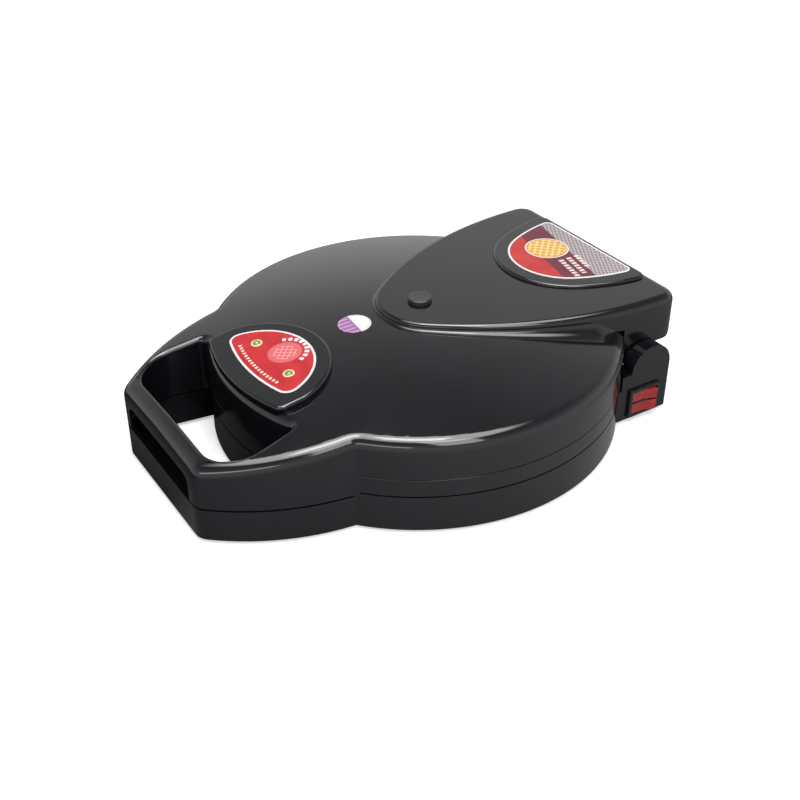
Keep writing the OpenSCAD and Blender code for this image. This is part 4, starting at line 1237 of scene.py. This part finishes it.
# %% The front label's print
CREAM, PALE = (0.85, 0.72, 0.6), (0.86, 0.84, 0.84)
label_white = surface(
    "label_white", ((0.8, 0.79, 0.8), (0.86, 0.85, 0.85)), 60, (0.2, 0.3), (600, 0.01 * MM)
)
front_art, tree = print_finish("front_label_print", (0.48, 0.02, 0.025))
heart = (0, PAD_CY + 28 * MM)
art = blend(tree, spread(tree, noise(tree, 60, 3), 0, 1), (0.4, 0.014, 0.02), (0.56, 0.03, 0.032))
art = blend(tree, disc_mask(tree, heart, 13 * MM), art, (0.64, 0.13, 0.15))
grid_on_disc = both(
    tree, disc_mask(tree, heart, 9 * MM), lattice_mask(tree, heart, 45, 3.8 * MM, 0.18)
)
art = blend(tree, grid_on_disc, art, (0.8, 0.36, 0.33))
crown_dashes = dash_ring_mask(tree, heart, 15 * MM, 18.5 * MM, 15, 165, 9, 0.6)
art = blend(tree, crown_dashes, art, PALE)
front_row = dash_ring_mask(
    tree, (0, 0), PAD_FRONT_R - 23 * MM, PAD_FRONT_R - 20.5 * MM, -103, -77, 17, 0.5
)
art = blend(tree, front_row, art, CREAM)
show_art(tree, art)

# %% The rear label's print
LEAN = 12  # the fields and the rows of dashes lean by this many degrees
rear_art, tree = print_finish("rear_label_print", (0.42, 0.03, 0.03))
gold_at = (-14 * MM, REAR_PAD_TIP + 52 * MM)
art = blend(tree, spread(tree, noise(tree, 50, 3), 0, 1), (0.42, 0.02, 0.022), (0.52, 0.05, 0.045))
x, y = position(tree, (0, REAR_PAD_TIP + 38 * MM), LEAN)
art = blend(tree, calc(tree, "GREATER_THAN", y, 0), art, (0.12, 0.02, 0.035))
rear_field = calc(tree, "GREATER_THAN", y, 26 * MM)
grey_mesh = both(tree, rear_field, lattice_mask(tree, (0, 0), 30, 3 * MM, 0.5))
art = blend(tree, grey_mesh, art, (0.42, 0.4, 0.41))
art = blend(tree, disc_mask(tree, gold_at, 18.5 * MM), art, PALE)
art = blend(tree, disc_mask(tree, gold_at, 17.5 * MM), art, (0.62, 0.33, 0.08))
gold_grid = both(
    tree, disc_mask(tree, gold_at, 16 * MM), lattice_mask(tree, gold_at, 45, 5 * MM, 0.3)
)
art = blend(tree, gold_grid, art, (0.85, 0.62, 0.26))
for row in range(3):  # rows of dashes, each shorter than the one before
    x, y = position(tree, (27 * MM, REAR_PAD_TIP + (42 + 8 * row) * MM), LEAN)
    row_height = between(tree, y, 0, 4.4 * MM)
    bar = both(tree, row_height, between(tree, x, -19 * MM, (17 - 6 * row) * MM))
    art = blend(tree, both(tree, bar, repeat(tree, x, 4.6 * MM, 0.66)), art, (0.78, 0.66, 0.62))
show_art(tree, art)

# %% The round sticker's print
sticker_art, tree = print_finish("sticker_print", (0.8, 0.78, 0.83))
low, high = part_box("round_sticker")
sticker_c = ((low.x + high.x) / 2, (low.y + high.y) / 2 - AXIS_Y)
x, y = position(tree, sticker_c, 5)
art = blend(tree, calc(tree, "GREATER_THAN", y, 0), (0.3, 0.13, 0.32), (0.8, 0.79, 0.83))
stripes = both(tree, calc(tree, "LESS_THAN", y, -1.5 * MM), repeat(tree, x, 5 * MM, 0.3))
art = blend(tree, stripes, art, (0.55, 0.38, 0.56))
rim_line = between(tree, radius_from(tree, sticker_c), 11.8 * MM, 12.3 * MM)
art = blend(tree, rim_line, art, (0.5, 0.35, 0.52))
show_art(tree, art)

# %% Give every piece its finish
FINISHES = {
    black_gloss: [lid, bridge, hollow, base, band, front_pad, rear_pad],
    black_satin: [plug, "base_cover", "cord_gland"],
    switch_black: [switch],
    foot_rubber: [feet],
    rocker_red: [upper_rocker, lower_rocker],
    ring_cream: rings,
    lens_green: ["left_lamp", "right_lamp"],
    zinc_steel: [
        "cover_screws", "lower_plate_screws", "upper_plate_screws", "ring_screws", "bracket_screws",
        "bridge_screw", "left_hinge_pin", "right_hinge_pin",
    ],
    painted_steel: ["hinge_bracket"],
    rolled_steel: ["lower_heat_shield", "upper_heat_shield"],
    baked_tube: ["lower_heater", "upper_heater"],
    plate_coating: ["lower_plate", "upper_plate"],
    bush_bronze: ["left_hinge_bush", "right_hinge_bush"],
    pale_ceramic: ["lower_thermostat", "upper_thermostat"],
    terminal_white: ["terminal_block", "lower_thermal_fuse", "upper_thermal_fuse"],
    glass_sleeve: ["lower_wiring", "upper_wiring"],
    board_green: ["lamp_board"],
    sticker_art: ["round_sticker"],
}
for material, pieces in FINISHES.items():
    for piece in pieces:
        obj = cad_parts[piece] if isinstance(piece, str) else piece
        obj.data.materials.clear()
        obj.data.materials.append(material)
for label, art_material in ((front_label, front_art), (rear_label, rear_art)):
    label.data.materials[0] = label_white
    label.data.materials[1] = art_material
print("finishes:", len(FINISHES))
